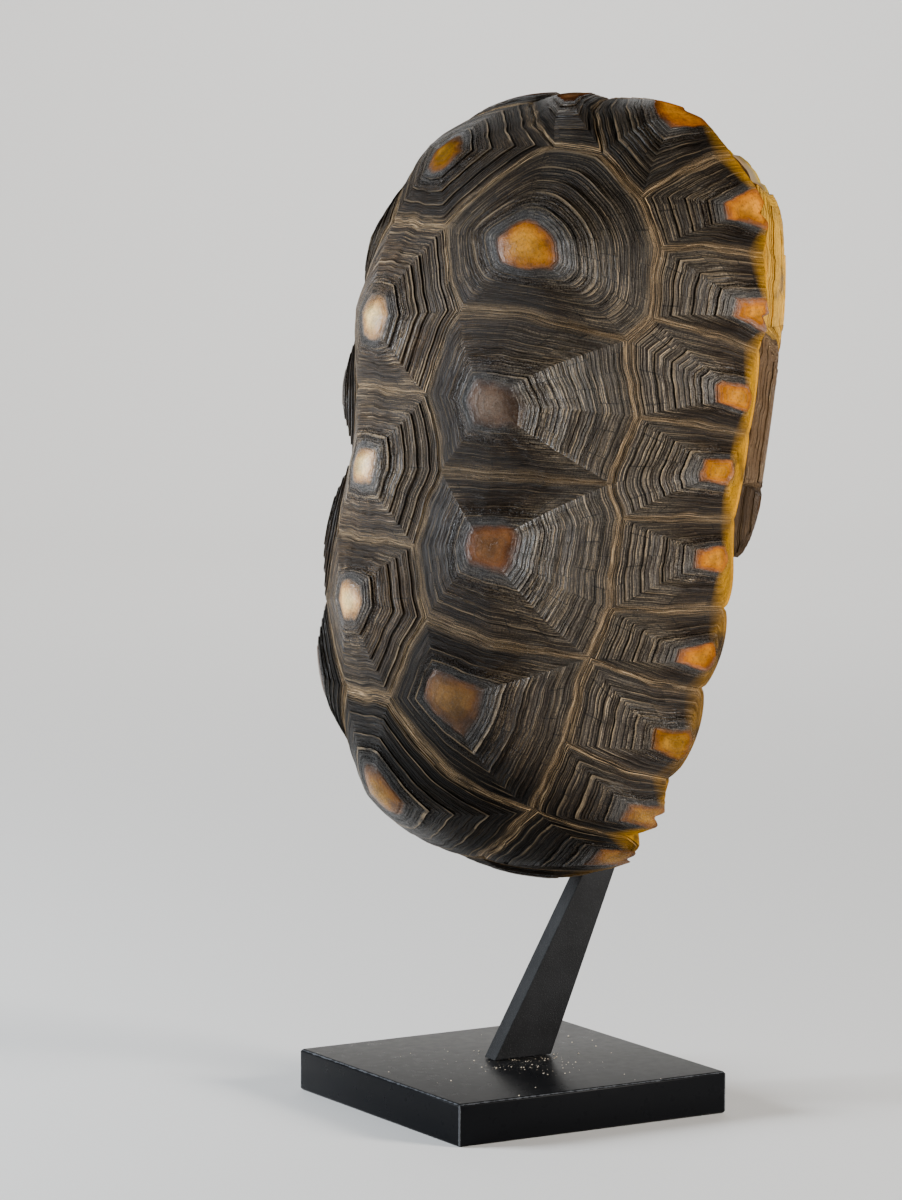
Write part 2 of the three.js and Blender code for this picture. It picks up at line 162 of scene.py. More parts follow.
def inScene(name, data):
    thing = bpy.data.objects.new(name, data)
    bpy.context.scene.collection.objects.link(thing)
    return thing


# ---- the form of the shell, in its own mm: right, head, back

def planRadius(turn):
    along = np.abs(np.cos(turn))
    across = np.abs(np.sin(turn))
    length = np.where(np.cos(turn) > 0, backForm["toHead"], backForm["toTail"])
    square = backForm["planTail"] + (backForm["planHead"] - backForm["planTail"]) * (0.5 + 0.5 * np.cos(turn))
    return ((along / length) ** square + (across / backForm["halfWidth"]) ** square) ** (-1 / square)


def backPoint(spot, lift):
    spot = np.asarray(spot, float)
    ahead = spot[..., 0]
    evenAside = spot[..., 1]
    fade = smooth(ahead, *backForm["swayAhead"]) * (1 - smooth(np.abs(evenAside), *backForm["swayAside"]))
    aside = evenAside + backForm["sway"] * fade
    down = np.radians(np.hypot(ahead, aside))
    turn = np.arctan2(aside, ahead)
    boxy = backForm["archLong"] * np.cos(turn) ** 2 + backForm["archAcross"] * np.sin(turn) ** 2
    flat = np.sin(down) / planRadius(turn)
    high = np.where(np.cos(down) > 0, backForm["crown"], backForm["under"])
    reach = (flat ** boxy + (np.abs(np.cos(down)) / high) ** boxy) ** (-1 / boxy) + lift - backForm["sink"]
    level = reach * np.sin(down)
    return np.stack([level * np.sin(turn), level * np.cos(turn), reach * np.cos(down)], -1)


def bellyHalfWidth(ahead):
    ahead = np.asarray(ahead, float) / bellyForm["inset"]
    inner = np.zeros_like(ahead)
    outer = np.full_like(ahead, backForm["halfWidth"])
    for _ in range(bellyForm["halvings"]):
        x = (inner + outer) / 2
        isIn = np.hypot(x, ahead) < planRadius(np.arctan2(x, ahead))
        inner = np.where(isIn, x, inner)
        outer = np.where(isIn, outer, x)
    return inner * bellyForm["inset"]


def bellyDepth(ahead):
    towardTail = 1 + (bellyForm["tailShare"] - 1) * smooth(-ahead, *bellyForm["tailFade"])
    towardHead = 1 + (bellyForm["headShare"] - 1) * smooth(ahead, *bellyForm["headFade"])
    return bellyForm["depth"] * towardTail * towardHead


def bellyPoint(spot, lift):
    spot = np.asarray(spot, float)
    turn = np.radians(np.minimum(np.abs(spot[..., 1]), 90))
    power = 2 / bellyForm["boxy"]
    x = (bellyHalfWidth(spot[..., 0]) + lift) * np.sin(turn) ** power
    depth = (bellyDepth(spot[..., 0]) + lift) * np.abs(np.cos(turn)) ** power
    return np.stack([np.sign(spot[..., 1]) * x, spot[..., 0], -depth], -1)


def bellyPlace(corner):
    if isinstance(corner, (int, float)):
        turn = math.radians(corner)
        return (float(planRadius(turn)) * math.cos(turn) * bellyForm["inset"], 90.0)
    share = (corner[1] / float(bellyHalfWidth(corner[0]))) ** (bellyForm["boxy"] / 2)
    return (corner[0], math.degrees(math.asin(share)))


def toRow(points):
    lean = math.radians(shellPlace["lean"])
    right = np.array([0, -1.0, 0])
    head = np.array([math.sin(lean), 0, math.cos(lean)])
    back = np.array([-math.cos(lean), 0, math.sin(lean)])
    middle = np.array([shellPlace["x"], 0, shellPlace["z"]])
    return (middle + points[..., :1] * right + points[..., 1:2] * head + points[..., 2:3] * back) * mm


# ---- outlines of the plates

def mirrored(place):
    return (place[0], -place[1])


nearly = 1e-6


def same(a, b):
    return math.hypot(a[0] - b[0], a[1] - b[1]) < nearly


def bothHalves(corners):
    whole = list(corners) + [mirrored(place) for place in reversed(corners)]
    return [place for i, place in enumerate(whole) if not same(place, whole[(i + 1) % len(whole)])]


# the wave of a seam: two sines, begun from where its ends lie
seamWaves = {"begin": (3.1, 1.7, 2.3), "paces": (0.33, 0.81), "second": 0.6, "fade": 0.6}


def wavedLine(a, b, length, share, form):
    line = np.array(a) + (np.array(b) - np.array(a)) * share[:, None]
    across = np.array([b[1] - a[1], a[0] - b[0]]) / length
    ahead, behind, aside = seamWaves["begin"]
    begin = ahead * a[0] + behind * b[0] + aside * (abs(a[1]) + abs(b[1]))
    slow, fast = seamWaves["paces"]
    wave = np.sin(share * length * slow + begin)
    wave = wave + seamWaves["second"] * np.sin(share * length * fast + 2 * begin)
    middleLine = abs(a[1]) + abs(b[1]) < nearly
    swing = 0 if middleLine and form is backForm else form["seamWave"]
    mirror = 1 if a[1] + b[1] >= 0 else -1
    fade = np.sin(math.pi * share) ** seamWaves["fade"]
    return line + (wave * swing * mirror * fade)[:, None] * across


def bulgedLine(a, b, share, form):
    away = math.atan2(a[1], a[0])
    sweep = (math.atan2(b[1], b[0]) - away + math.pi) % (2 * math.pi) - math.pi
    away = away + sweep * share
    low, full, until, gone = form["rearSpan"]
    rear = smooth(-np.cos(away), low, full) * (1 - smooth(-np.cos(away), until, gone))
    bulge = form["rimBulge"] + form["rearBulge"] * rear
    turn = np.hypot(*a) + (np.hypot(*b) - np.hypot(*a)) * share
    turn = turn + bulge * np.sqrt(np.sin(math.pi * share).clip(0))
    return np.stack([turn * np.cos(away), turn * np.sin(away)], -1)


def seamLine(start, end, onRim, form):
    # the same points whichever plate asks, so that neighbours meet
    swap = tuple(start) < tuple(end)
    a, b = (end, start) if swap else (start, end)
    length = math.hypot(a[0] - b[0], a[1] - b[1])
    share = np.linspace(0, 1, max(2, round(length / form["pointGap"])) + 1)
    line = bulgedLine(a, b, share, form) if onRim else wavedLine(a, b, length, share, form)
    line[0] = a
    line[-1] = b
    if swap:
        line = line[::-1]
    return line[:-1]


def outlineOf(corners, isEdge, form):
    places = []
    edges = []
    for i, corner in enumerate(corners):
        following = corners[(i + 1) % len(corners)]
        edge = isEdge(corner, following)
        line = seamLine(corner, following, edge and form is backForm, form)
        places.append(line)
        edges += [edge] * len(line)
    places = np.concatenate(places)
    edges = np.array(edges)
    nxt = np.roll(places, -1, axis=0)
    if np.sum(places[:, 1] * nxt[:, 0] - nxt[:, 1] * places[:, 0]) < 0:
        places = places[::-1]
        edges = np.roll(edges[::-1], -1)
    return places, edges


# ---- the rings of one plate

# gaps between the rings, their relief in mm, and how far they stray, in rings
ringForm = {
    "gaps": (0.45, 1.6), "firstGap": 1.2, "tightening": 0.75, "leastStrength": 0.25,
    "profile": ((0.0, -0.3), (0.16, -0.04), (0.5, 0.05), (0.88, 0.16)),
    "yearShift": 1.2, "dropShare": (0.6, 1.0), "lastDrop": 0.3, "crestSpan": (0.8, 0.95),
    "footSpan": (0.0, 0.16), "waves": 4, "pace": (0.08, 0.35), "wander": (0.008, 0.028), "lag": (0.1, 0.4),
    "swing": 0.15, "swingPace": 0.55, "soft": 0.04, "slope": 1.15, "seamFrom": 0.94,
    "reliefFull": 0.06, "fullSpacing": 1.15,
    "spacingShare": (0.25, 1.1), "tightSpan": (0.45, 0.8), "goldSpan": (-0.3, 0.3), "areolaFade": 0.17,
}
hatchlingForm = {"most": 0.6, "likePlate": 0.2, "mostInset": 0.75,
                 "domeShares": (0.12, 0.3, 0.5, 0.68, 0.84, 0.95)}
fullTurn = 6.28


def hatchlingLine(places, core, size, roundness):
    # between the plate's own outline and a circle, and clear of the seams
    away = places - core
    distance = np.linalg.norm(away, axis=1)
    fromMiddle = places - (places.min(0) + places.max(0)) / 2
    scaled = fromMiddle / np.linalg.norm(fromMiddle, axis=1).mean()
    circle = away / distance[:, None]
    free = core + size * ((1 - roundness) * scaled + roundness * circle)
    toEdge = np.minimum(np.linalg.norm(free - core, axis=1) / distance, hatchlingForm["most"])
    likePlate = hatchlingForm["likePlate"]
    line = core + away * toEdge[:, None] * likePlate + (free - core) * (1 - likePlate)
    inset = np.minimum(1, hatchlingForm["mostInset"] * distance / np.linalg.norm(line - core, axis=1))
    return core + (line - core) * inset[:, None]


def ringRows(group, rng):
    # rows of points from the hatchling plate to the seam: wide gaps in the middle years, tight near the seam
    rings = group["rings"]
    years = group["years"]
    profile = ringForm["profile"]
    narrowing = ringForm["firstGap"] - ringForm["tightening"] * np.linspace(0, 1, rings) ** 2
    gaps = rng.uniform(*ringForm["gaps"], rings) * narrowing
    starts = np.concatenate([[0], np.cumsum(gaps)]) / gaps.sum()
    least = ringForm["leastStrength"]
    strength = least + (1 - least) * rng.uniform(0, 1, rings) ** 2
    steps = [(k, part, lift) for k in range(rings) for part, lift in profile]
    share = np.array([starts[k] + (starts[k + 1] - starts[k]) * part for k, part, _ in steps])
    ring = np.array([k + part for k, part, _ in steps])
    ledge = np.array([strength[k] * lift for k, _, lift in steps])

    # every few rings a ledge: the surface climbs to its edge and then drops
    shift = ringForm["yearShift"]
    ends = np.round(np.linspace(0, rings, years + 1) + rng.uniform(-shift, shift, years + 1))
    ends[0] = 0
    ends[-1] = rings
    year = np.searchsorted(ends, ring, side="right") - 1
    climb = (ring - ends[year]) / (ends[year + 1] - ends[year])
    drop = rng.uniform(*ringForm["dropShare"], years)[year] * group["ledge"]
    drop = drop * np.where(year == years - 1, ringForm["lastDrop"], 1)
    ledge = ledge + drop * (climb - 0.5)
    # crest is 1 at the edge of a ledge, where a painted highlight goes, and -1 at its foot, where painted
    # shade goes
    crest = smooth(climb, *ringForm["crestSpan"]) - (1 - smooth(climb, *ringForm["footSpan"])) * (year > 0)
    return share, ring, ledge, crest


def strayed(rowShare, rowRing, lengthAlong, group, rng):
    # the rings waver a little, and step sideways where they are broken
    columns = len(lengthAlong) - 1
    wander = np.zeros((len(rowShare), columns))
    for _ in range(ringForm["waves"]):
        pace = rng.uniform(*ringForm["pace"])
        wander += rng.uniform(*ringForm["wander"]) * np.sin(
            pace * lengthAlong[None, :-1] + rowRing[:, None] * rng.uniform(*ringForm["lag"])
            + rng.uniform(0, fullTurn))
    breaks = np.sort(rng.choice(columns, group["breaks"], replace=False))
    stretch = np.searchsorted(breaks, np.arange(columns), side="right") % group["breaks"]
    swing = rng.uniform(0.0, ringForm["swing"], group["breaks"])[stretch]
    phase = rng.uniform(0, fullTurn, group["breaks"])[stretch]
    wander += swing * np.sin(ringForm["swingPace"] * rowRing[:, None] + phase)
    wobble = wander / group["rings"] * np.sin(math.pi * rowShare.clip(0, 1))[:, None]
    return (rowShare[:, None] + wobble).clip(0, 1)


def roundedLine(places):
    # the outline with its corners smoothed away
    columns = len(places)
    window = max(3, columns // 6)
    kernel = np.hanning(window + 2)[1:-1]
    tripled = np.concatenate([places, places, places])
    rounded = np.stack([np.convolve(tripled[:, k], kernel / kernel.sum(), "same") for k in (0, 1)], -1)
    return rounded[columns:2 * columns]


# ---- mesh of a group of plates: grown rings outside, plain bone inside

mergeDistance = 0.002 * mm
plainTint = (0.5, 0.5, 0.5)
skins = {"ring": 1, "hatchling": 0.4, "seam": 0.6, "lip": 0.3}  # how much grain each part takes


def cornerUvs(*pairs):
    return np.stack([np.stack(pair, -1) for pair in pairs], 1)


class PlateGroup:
    def __init__(self, place, inward, form, flip):
        self.place = place
        self.inward = inward
        self.form = form
        self.flip = flip
        self.points = []
        self.faces = []
        self.uvs = []
        names = ("share", "areola", "gold", "crest", "ledge", "tight", "skin", "bone")
        self.values = {name: [] for name in names}
        self.tints = []
        self.count = 0
        self.bare = []  # outline edges that may lie open
        self.uses = {}

    def addPoints(self, points, **values):
        flat = points.reshape(-1, 3)
        start = self.count
        self.points.append(flat)
        self.count += len(flat)
        for key, rows in self.values.items():
            value = np.broadcast_to(np.asarray(values.get(key, 0.0), float), points.shape[:-1])
            rows.append(value.reshape(-1))
        tint = values.get("tint", plainTint)
        self.tints.append(np.tile(np.array(tint, float), (len(flat), 1)))
        return start + np.arange(len(flat)).reshape(points.shape[:-1])

    def addFaces(self, faces, uv):
        order = [0, 2, 1] if self.flip else [0, 1, 2]
        self.faces.append(faces[:, order])
        self.uvs.append(uv[:, order])

    def addBand(self, lower, upper, uLower, uUpper, v):
        # lower and upper are closed rows; v has one more value than they have points
        lowerNext = np.roll(lower, -1)
        upperNext = np.roll(upper, -1)
        first = np.stack([lower, upper, upperNext], -1)
        second = np.stack([lower, upperNext, lowerNext], -1)
        low = np.full(len(lower), uLower)
        high = np.full(len(lower), uUpper)
        here, there = v[:-1], v[1:]
        self.addFaces(first, cornerUvs((low, here), (high, here), (high, there)))
        self.addFaces(second, cornerUvs((low, here), (high, there), (low, there)))

    def addPlate(self, outline, plate, group, seed):
        places, edges = outline
        columns = len(places)
        rng = np.random.default_rng(seed)
        core = np.array(plate["core"], float)
        look = {**group, **plate}
        seamDepth = self.form["seamDepth"]
        coreLine = hatchlingLine(places, core, look["size"], look["round"])
        rowShare, rowRing, rowLedge, rowCrest = ringRows(look, rng)
        steps = np.linalg.norm(np.roll(places, -1, axis=0) - places, axis=1)
        lengthAlong = np.concatenate([[0], np.cumsum(steps)])
        share = strayed(rowShare, rowRing, lengthAlong, look, rng)
        softness = look.get("soft", ringForm["soft"]) * (1 - rowShare ** 3)
        outer = places[None] + (roundedLine(places) - places)[None] * softness[:, None, None]
        spots = coreLine[None] + (outer - coreLine[None]) * share[..., None]
        sunk = seamDepth * smooth(share, ringForm["seamFrom"], 1)
        lift = look["height"] * (1 - share) ** ringForm["slope"] - sunk
        points = self.place(spots, lift)
        spacing = np.linalg.norm(points[-1] - points[0], axis=-1) / look["rings"]
        fullness = np.clip(spacing / ringForm["fullSpacing"], *ringForm["spacingShare"])
        relief = rowLedge[:, None] * fullness[None] * smooth(share, 0, ringForm["reliefFull"])
        tight = 1 - smooth(spacing / spacing.max(), *ringForm["tightSpan"])
        onEdge = edges | np.roll(edges, 1)
        edgeSoft = np.convolve(np.tile(onEdge.astype(float), 3), np.ones(5) / 5, "same")[columns:2 * columns]
        wash = look.get("wash", 0)
        goldEdge = look.get("gold", 0) * edgeSoft
        gold = np.maximum(goldEdge[None] * smooth(share, *ringForm["goldSpan"]), wash)
        tint = look["tint"]
        seamSteps = np.linalg.norm(points[-1] - np.roll(points[-1], -1, axis=0), axis=-1)
        v = lengthAlong * (float(seamSteps.sum()) / lengthAlong[-1])
        fadeOut = 1 - smooth(share, 0.0, ringForm["areolaFade"])
        rows = self.addPoints(points, share=share, areola=fadeOut, gold=gold, crest=rowCrest[:, None],
                              ledge=relief, tight=tight[None], skin=skins["ring"], tint=tint)
        self.addHatchling(rows[0], spots[0], core, look, v)
        for k in range(1, len(rows)):
            self.addBand(rows[k - 1], rows[k], rowRing[k - 1], rowRing[k], v)
        goldLast = np.maximum(goldEdge, wash)
        last = self.place(places, np.full(columns, -seamDepth))
        seamRow = self.addPoints(last, share=1, gold=goldLast, tight=tight, skin=skins["seam"], tint=tint)
        self.addBand(rows[-1], seamRow, rowRing[-1], float(look["rings"]), v)
        innerRow = self.addBone(places, core, v)
        following = np.roll(places, -1, axis=0)
        for i in range(columns):
            key = tuple(sorted([tuple(np.round(places[i], 4)), tuple(np.round(following[i], 4))]))
            self.uses[key] = self.uses.get(key, 0) + 1
            j = (i + 1) % columns
            self.bare.append((key, edges[i], places[i], following[i], seamRow[i], seamRow[j], innerRow[i],
                              innerRow[j], goldLast[i], goldLast[j], tint))

    def addHatchling(self, firstRow, line, core, look, v):
        # the hatchling plate, smooth and a little domed
        shares = np.array(hatchlingForm["domeShares"])
        columns = len(line)
        spots = core + (line - core)[None] * shares[:, None, None]
        lift = look["height"] + look["dome"] * (1 - shares ** 2)
        rows = self.addPoints(self.place(spots, lift[:, None]), areola=2 - shares[:, None],
                              skin=skins["hatchling"], tint=look["tint"], gold=look.get("wash", 0))
        top = self.place(core[None], look["height"] + look["dome"])
        tip = self.addPoints(top, areola=2, skin=skins["hatchling"], tint=look["tint"])[0]
        fan = np.stack([np.full(columns, tip), rows[0], np.roll(rows[0], -1)], -1)
        centre = np.full(columns, -1.0)
        self.addFaces(fan, cornerUvs((centre, v[:-1]), (centre, v[:-1]), (centre, v[1:])))
        for k in range(1, len(shares)):
            self.addBand(rows[k - 1], rows[k], -1 + shares[k - 1], -1 + shares[k], v)
        self.addBand(rows[-1], firstRow, -0.05, 0.0, v)

    def addBone(self, places, core, v):
        # the plain surface inside the shell
        columns = len(places)
        innerRow = self.addPoints(self.inward(places), share=1, bone=1)
        halfRow = self.addPoints(self.inward((places + core) / 2), share=0.5, bone=1)
        innerTip = self.addPoints(self.inward(core[None]), bone=1)[0]
        self.addBand(innerRow, halfRow, 0.0, 1.0, v)
        fan = np.stack([np.full(columns, innerTip), np.roll(halfRow, -1), halfRow], -1)
        self.addFaces(fan, np.zeros((columns, 3, 2)))
        return innerRow

    def closeEdges(self, lip):
        for key, edge, a, b, outA, outB, inA, inB, goldA, goldB, tint in self.bare:
            if self.uses[key] > 1:
                continue
            row = (outA, outB)
            extra = lip(a, b) if edge and lip else []
            rows = [row]
            for k, pair in enumerate(extra):
                boneShare = 1.0 if k == len(extra) - 1 else 0.0
                ids = self.addPoints(np.array(pair), share=1, gold=np.array([goldA, goldB]), bone=boneShare,
                                     skin=skins["lip"], tint=tint)
                rows.append((ids[0], ids[1]))
            rows.append((inA, inB))
            for upper, lower in zip(rows[:-1], rows[1:]):
                faces = np.array([[upper[1], upper[0], lower[0]], [upper[1], lower[0], lower[1]]])
                self.addFaces(faces, np.zeros((2, 3, 2)))

    def build(self, name):
        points = toRow(np.concatenate(self.points))
        faces = np.concatenate(self.faces)
        uvs = np.concatenate(self.uvs)
        keys = np.round(points / mergeDistance).astype(np.int64)
        _, firstOf, groupOf = np.unique(keys, axis=0, return_index=True, return_inverse=True)
        faces = groupOf.reshape(-1)[faces]
        keep = (faces[:, 0] != faces[:, 1]) & (faces[:, 1] != faces[:, 2]) & (faces[:, 2] != faces[:, 0])
        faces = faces[keep]
        uvs = uvs[keep]
        mesh = bpy.data.meshes.new(name)
        mesh.vertices.add(len(firstOf))
        mesh.vertices.foreach_set("co", points[firstOf].astype(np.float32).ravel())
        mesh.loops.add(faces.size)
        mesh.loops.foreach_set("vertex_index", faces.astype(np.int32).ravel())
        mesh.polygons.add(len(faces))
        mesh.polygons.foreach_set("loop_start", np.arange(0, faces.size, 3, dtype=np.int32))
        mesh.polygons.foreach_set("loop_total", np.full(len(faces), 3, dtype=np.int32))
        mesh.polygons.foreach_set("use_smooth", np.ones(len(faces), dtype=bool))
        uvMap = mesh.uv_layers.new(name="rings")
        uvMap.data.foreach_set("uv", uvs.astype(np.float32).ravel())
        for key, rows in self.values.items():
            attribute = mesh.attributes.new(key, "FLOAT", "POINT")
            attribute.data.foreach_set("value", np.concatenate(rows)[firstOf].astype(np.float32))
        tints = np.concatenate(self.tints)[firstOf]
        color = mesh.attributes.new("tint", "FLOAT_COLOR", "POINT")
        tints = np.concatenate([tints, np.ones((len(tints), 1))], 1)
        color.data.foreach_set("color", tints.astype(np.float32).ravel())
        mesh.update(calc_edges=True)
        mesh.validate()
        return inScene(name, mesh)


# ---- nodes: a short way to add and join them

class NodeMaker:
    def __init__(self, tree):
        self.tree = tree

    def add(self, kind, inputs=None, **settings):
        node = self.tree.nodes.new(kind)
        for key, value in settings.items():
            setattr(node, key, value)
        for key, value in (inputs or {}).items():
            if isinstance(value, bpy.types.NodeSocket):
                self.tree.links.new(value, node.inputs[key])
            else:
                node.inputs[key].default_value = value
        return node

    def math(self, operation, a, b=0.0, clamp=False):
        return self.add("ShaderNodeMath", {0: a, 1: b}, operation=operation, use_clamp=clamp).outputs[0]

    def times(self, first, *factors, clamp=False):
        # only the last product is clamped
        result = first
        for i, factor in enumerate(factors):
            result = self.math("MULTIPLY", result, factor, clamp and i == len(factors) - 1)
        return result

    def plus(self, a, b, clamp=False):
        return self.math("ADD", a, b, clamp)

    def minus(self, a, b, clamp=False):
        return self.math("SUBTRACT", a, b, clamp)

    def rise(self, value, start, slope):
        return self.plus(start, self.times(value, slope))

    def span(self, value, low, high, toLow=0.0, toHigh=1.0):
        inputs = {"Value": value, "From Min": low, "From Max": high, "To Min": toLow, "To Max": toHigh}
        return self.add("ShaderNodeMapRange", inputs, interpolation_type="SMOOTHSTEP").outputs[0]

    def mix(self, share, a, b, blend="MIX"):
        def color(value):
            return value if isinstance(value, bpy.types.NodeSocket) else (*value, 1.0)
        node = self.add("ShaderNodeMix", data_type="RGBA", blend_type=blend)
        for key, value in ((0, share), (6, color(a)), (7, color(b))):
            if isinstance(value, bpy.types.NodeSocket):
                self.tree.links.new(value, node.inputs[key])
            else:
                node.inputs[key].default_value = value
        return node.outputs[2]

    def ramp(self, value, stops):
        node = self.add("ShaderNodeValToRGB", {0: value})
        while len(node.color_ramp.elements) < len(stops):
            node.color_ramp.elements.new(0.5)
        for element, (at, color) in zip(node.color_ramp.elements, stops):
            element.position = at
            element.color = (*color, 1.0) if isinstance(color, tuple) else (color, color, color, 1.0)
        return node.outputs[0]

    def noise(self, vector, scale, detail=3.0, rough=0.55):
        inputs = {"Vector": vector, "Scale": scale, "Detail": detail, "Roughness": rough}
        return self.add("ShaderNodeTexNoise", inputs).outputs[0]

    def white(self, vector):
        return self.add("ShaderNodeTexWhiteNoise", {"Vector": vector}).outputs[0]

    def bump(self, height, look):
        inputs = {"Height": height, "Strength": look["bump"], "Distance": look["bumpDepth"]}
        return self.add("ShaderNodeBump", inputs).outputs[0]

    def distance(self, a, b):
        return self.add("ShaderNodeVectorMath", {0: a, 1: b}, operation="DISTANCE").outputs["Value"]

    def attribute(self, name):
        return self.add("ShaderNodeAttribute", attribute_name=name)

    def vector(self, x, y, z=0.0):
        return self.add("ShaderNodeCombineXYZ", {0: x, 1: y, 2: z}).outputs[0]


def newMaterial(name):
    material = bpy.data.materials.new(name)
    material.use_nodes = True
    material.node_tree.nodes.clear()
    maker = NodeMaker(material.node_tree)
    output = maker.add("ShaderNodeOutputMaterial")
    surface = maker.add("ShaderNodeBsdfPrincipled")
    maker.tree.links.new(surface.outputs[0], output.inputs[0])
    return material, maker, surface


def joinInputs(maker, surface, **inputs):
    for key, value in inputs.items():
        socket = surface.inputs[key.replace("_", " ")]
        if isinstance(value, bpy.types.NodeSocket):
            maker.tree.links.new(value, socket)
        else:
            socket.default_value = value


# ---- horn with growth rings

hornLook = {
    "pit": (0.0035, 0.0026, 0.002), "brown": (0.020, 0.011, 0.0055), "tan": (0.105, 0.060, 0.026),
    "pale": (0.40, 0.29, 0.17), "ash": (0.115, 0.096, 0.072), "steel": (0.036, 0.036, 0.038),
    "shine": (0.25, 0.235, 0.21), "seamTan": (0.62, 0.41, 0.21), "cord": (0.74, 0.52, 0.29),
    "dust": (0.55, 0.52, 0.46), "goldEdge": (0.72, 0.34, 0.006), "tintShare": 0.0,
    "bone": (0.50, 0.40, 0.27), "darkerEdge": (0.52, 0.32, 0.18),
    "gloss": 0.35, "bump": 0.95, "bumpDepth": 0.6 * mm, "sharpAngle": 70,
}
# how dark and light a ring is from its inner edge to its outer one, and the blocks that rings break into
lineLook = {
    "ring": [(0.0, 0.0), (0.12, 0.06), (0.24, 0.46), (0.70, 0.54), (0.84, 1.0), (1.0, 0.2)],
    "fine": [(0.0, 0.1), (0.25, 0.85), (0.78, 1.0), (1.0, 0.0)], "finePerRing": 3.3,
    "rope": [(0.0, 0.0), (0.4, 0.08), (0.6, 1.0), (0.8, 0.85), (1.0, 0.0)], "ropesPerRing": 1.6,
    "blockRings": 6.5, "blockLength": 15.0, "blockShift": 0.7, "sway": 0.1, "ringSeed": 3.7,
}
# heights, and distances from the middle, between which colour or gloss changes, in metres; low and high are
# where painted shade darkens the horn toward its bottom and its top
hornZones = {
    "low": (0.25, 0.13), "midLine": (0.052, 0.076), "high": (0.30, 0.37), "flank": (0.035, 0.075),
    "rimAside": (0.068, 0.084), "rimAbove": (0.352, 0.368),
}


def readPlate(maker):
    # what the mesh says of a point, and where the point lies
    ringMap = maker.add("ShaderNodeUVMap", uv_map="rings").outputs[0]
    uv = maker.add("ShaderNodeSeparateXYZ", {0: ringMap}).outputs
    spot = maker.add("ShaderNodeTexCoord").outputs["Object"]
    axes = maker.add("ShaderNodeSeparateXYZ", {0: spot}).outputs
    names = ("share", "areola", "gold", "crest", "tight", "bone")
    at = SimpleNamespace(**{name: maker.attribute(name).outputs["Fac"] for name in names})
    at.tint = maker.attribute("tint").outputs["Color"]
    at.ring = uv[0]
    at.along = uv[1]
    at.spot = spot
    aside = maker.math("ABSOLUTE", axes[1])
    # painted shade: darker toward the bottom, less so out toward the rim, and darker toward the top
    at.low = maker.times(maker.span(axes[2], *hornZones["low"]),
                         maker.span(aside, *hornZones["midLine"], 1.0, 0.12))
    at.high = maker.span(axes[2], *hornZones["high"])
    at.flank = maker.span(aside, *hornZones["flank"])
    at.rimward = maker.math("MAXIMUM", maker.span(aside, *hornZones["rimAside"]),
                            maker.span(axes[2], *hornZones["rimAbove"]))
    return at


def addLines(maker, at):
    # blocks of rings that are broken off and shifted against each other
    block = maker.math("FLOOR", maker.math("DIVIDE", at.ring, lineLook["blockRings"]))
    started = maker.times(maker.white(maker.vector(block, 3.0)), 5.0)
    alongBlock = maker.plus(maker.math("DIVIDE", at.along, lineLook["blockLength"]), started)
    at.cell = maker.white(maker.vector(block, maker.math("FLOOR", alongBlock)))
    shift = maker.times(maker.span(at.cell, 0.45, 0.95), lineLook["blockShift"])
    at.cut = maker.times(maker.span(maker.math("PINGPONG", alongBlock, 0.5), 0.035, 0.008),
                         maker.span(at.cell, 0.4, 0.6))

    # a thin dark groove and a thin light line a ring, with finer lines between them; partly the horn's own
    # colour, partly painted shade in the groove and a painted highlight on the ridge
    sway = maker.times(maker.minus(maker.noise(at.spot, 90.0, 2.0), 0.5), lineLook["sway"])
    at.phase = maker.plus(maker.plus(at.ring, sway), shift)
    whole = maker.times(maker.math("FLOOR", at.phase), lineLook["ringSeed"])
    line = maker.ramp(maker.math("FRACT", at.phase), lineLook["ring"])
    depth = maker.span(maker.white(maker.vector(whole, 1.0)), 0.15, 0.9, 0.45, 1.2)
    at.line = maker.plus(0.5, maker.times(maker.minus(line, 0.5), depth))
    finePhase = maker.plus(maker.times(at.phase, lineLook["finePerRing"]), sway)
    at.fine = maker.ramp(maker.math("FRACT", finePhase), lineLook["fine"])
    streak = maker.noise(maker.vector(whole, maker.times(at.along, 0.035)), 1.0, 2.0)
    at.streak = maker.span(streak, 0.34, 0.66)
    thread = maker.noise(maker.vector(maker.times(at.phase, 4.5), maker.times(at.along, 0.07)), 1.0, 3.0)
    at.thread = maker.span(thread, 0.34, 0.68)
    at.crumb = maker.noise(at.spot, 1500.0, 3.0, 0.7)
    at.grit = maker.span(at.crumb, 0.32, 0.68, 0.62, 1.35)


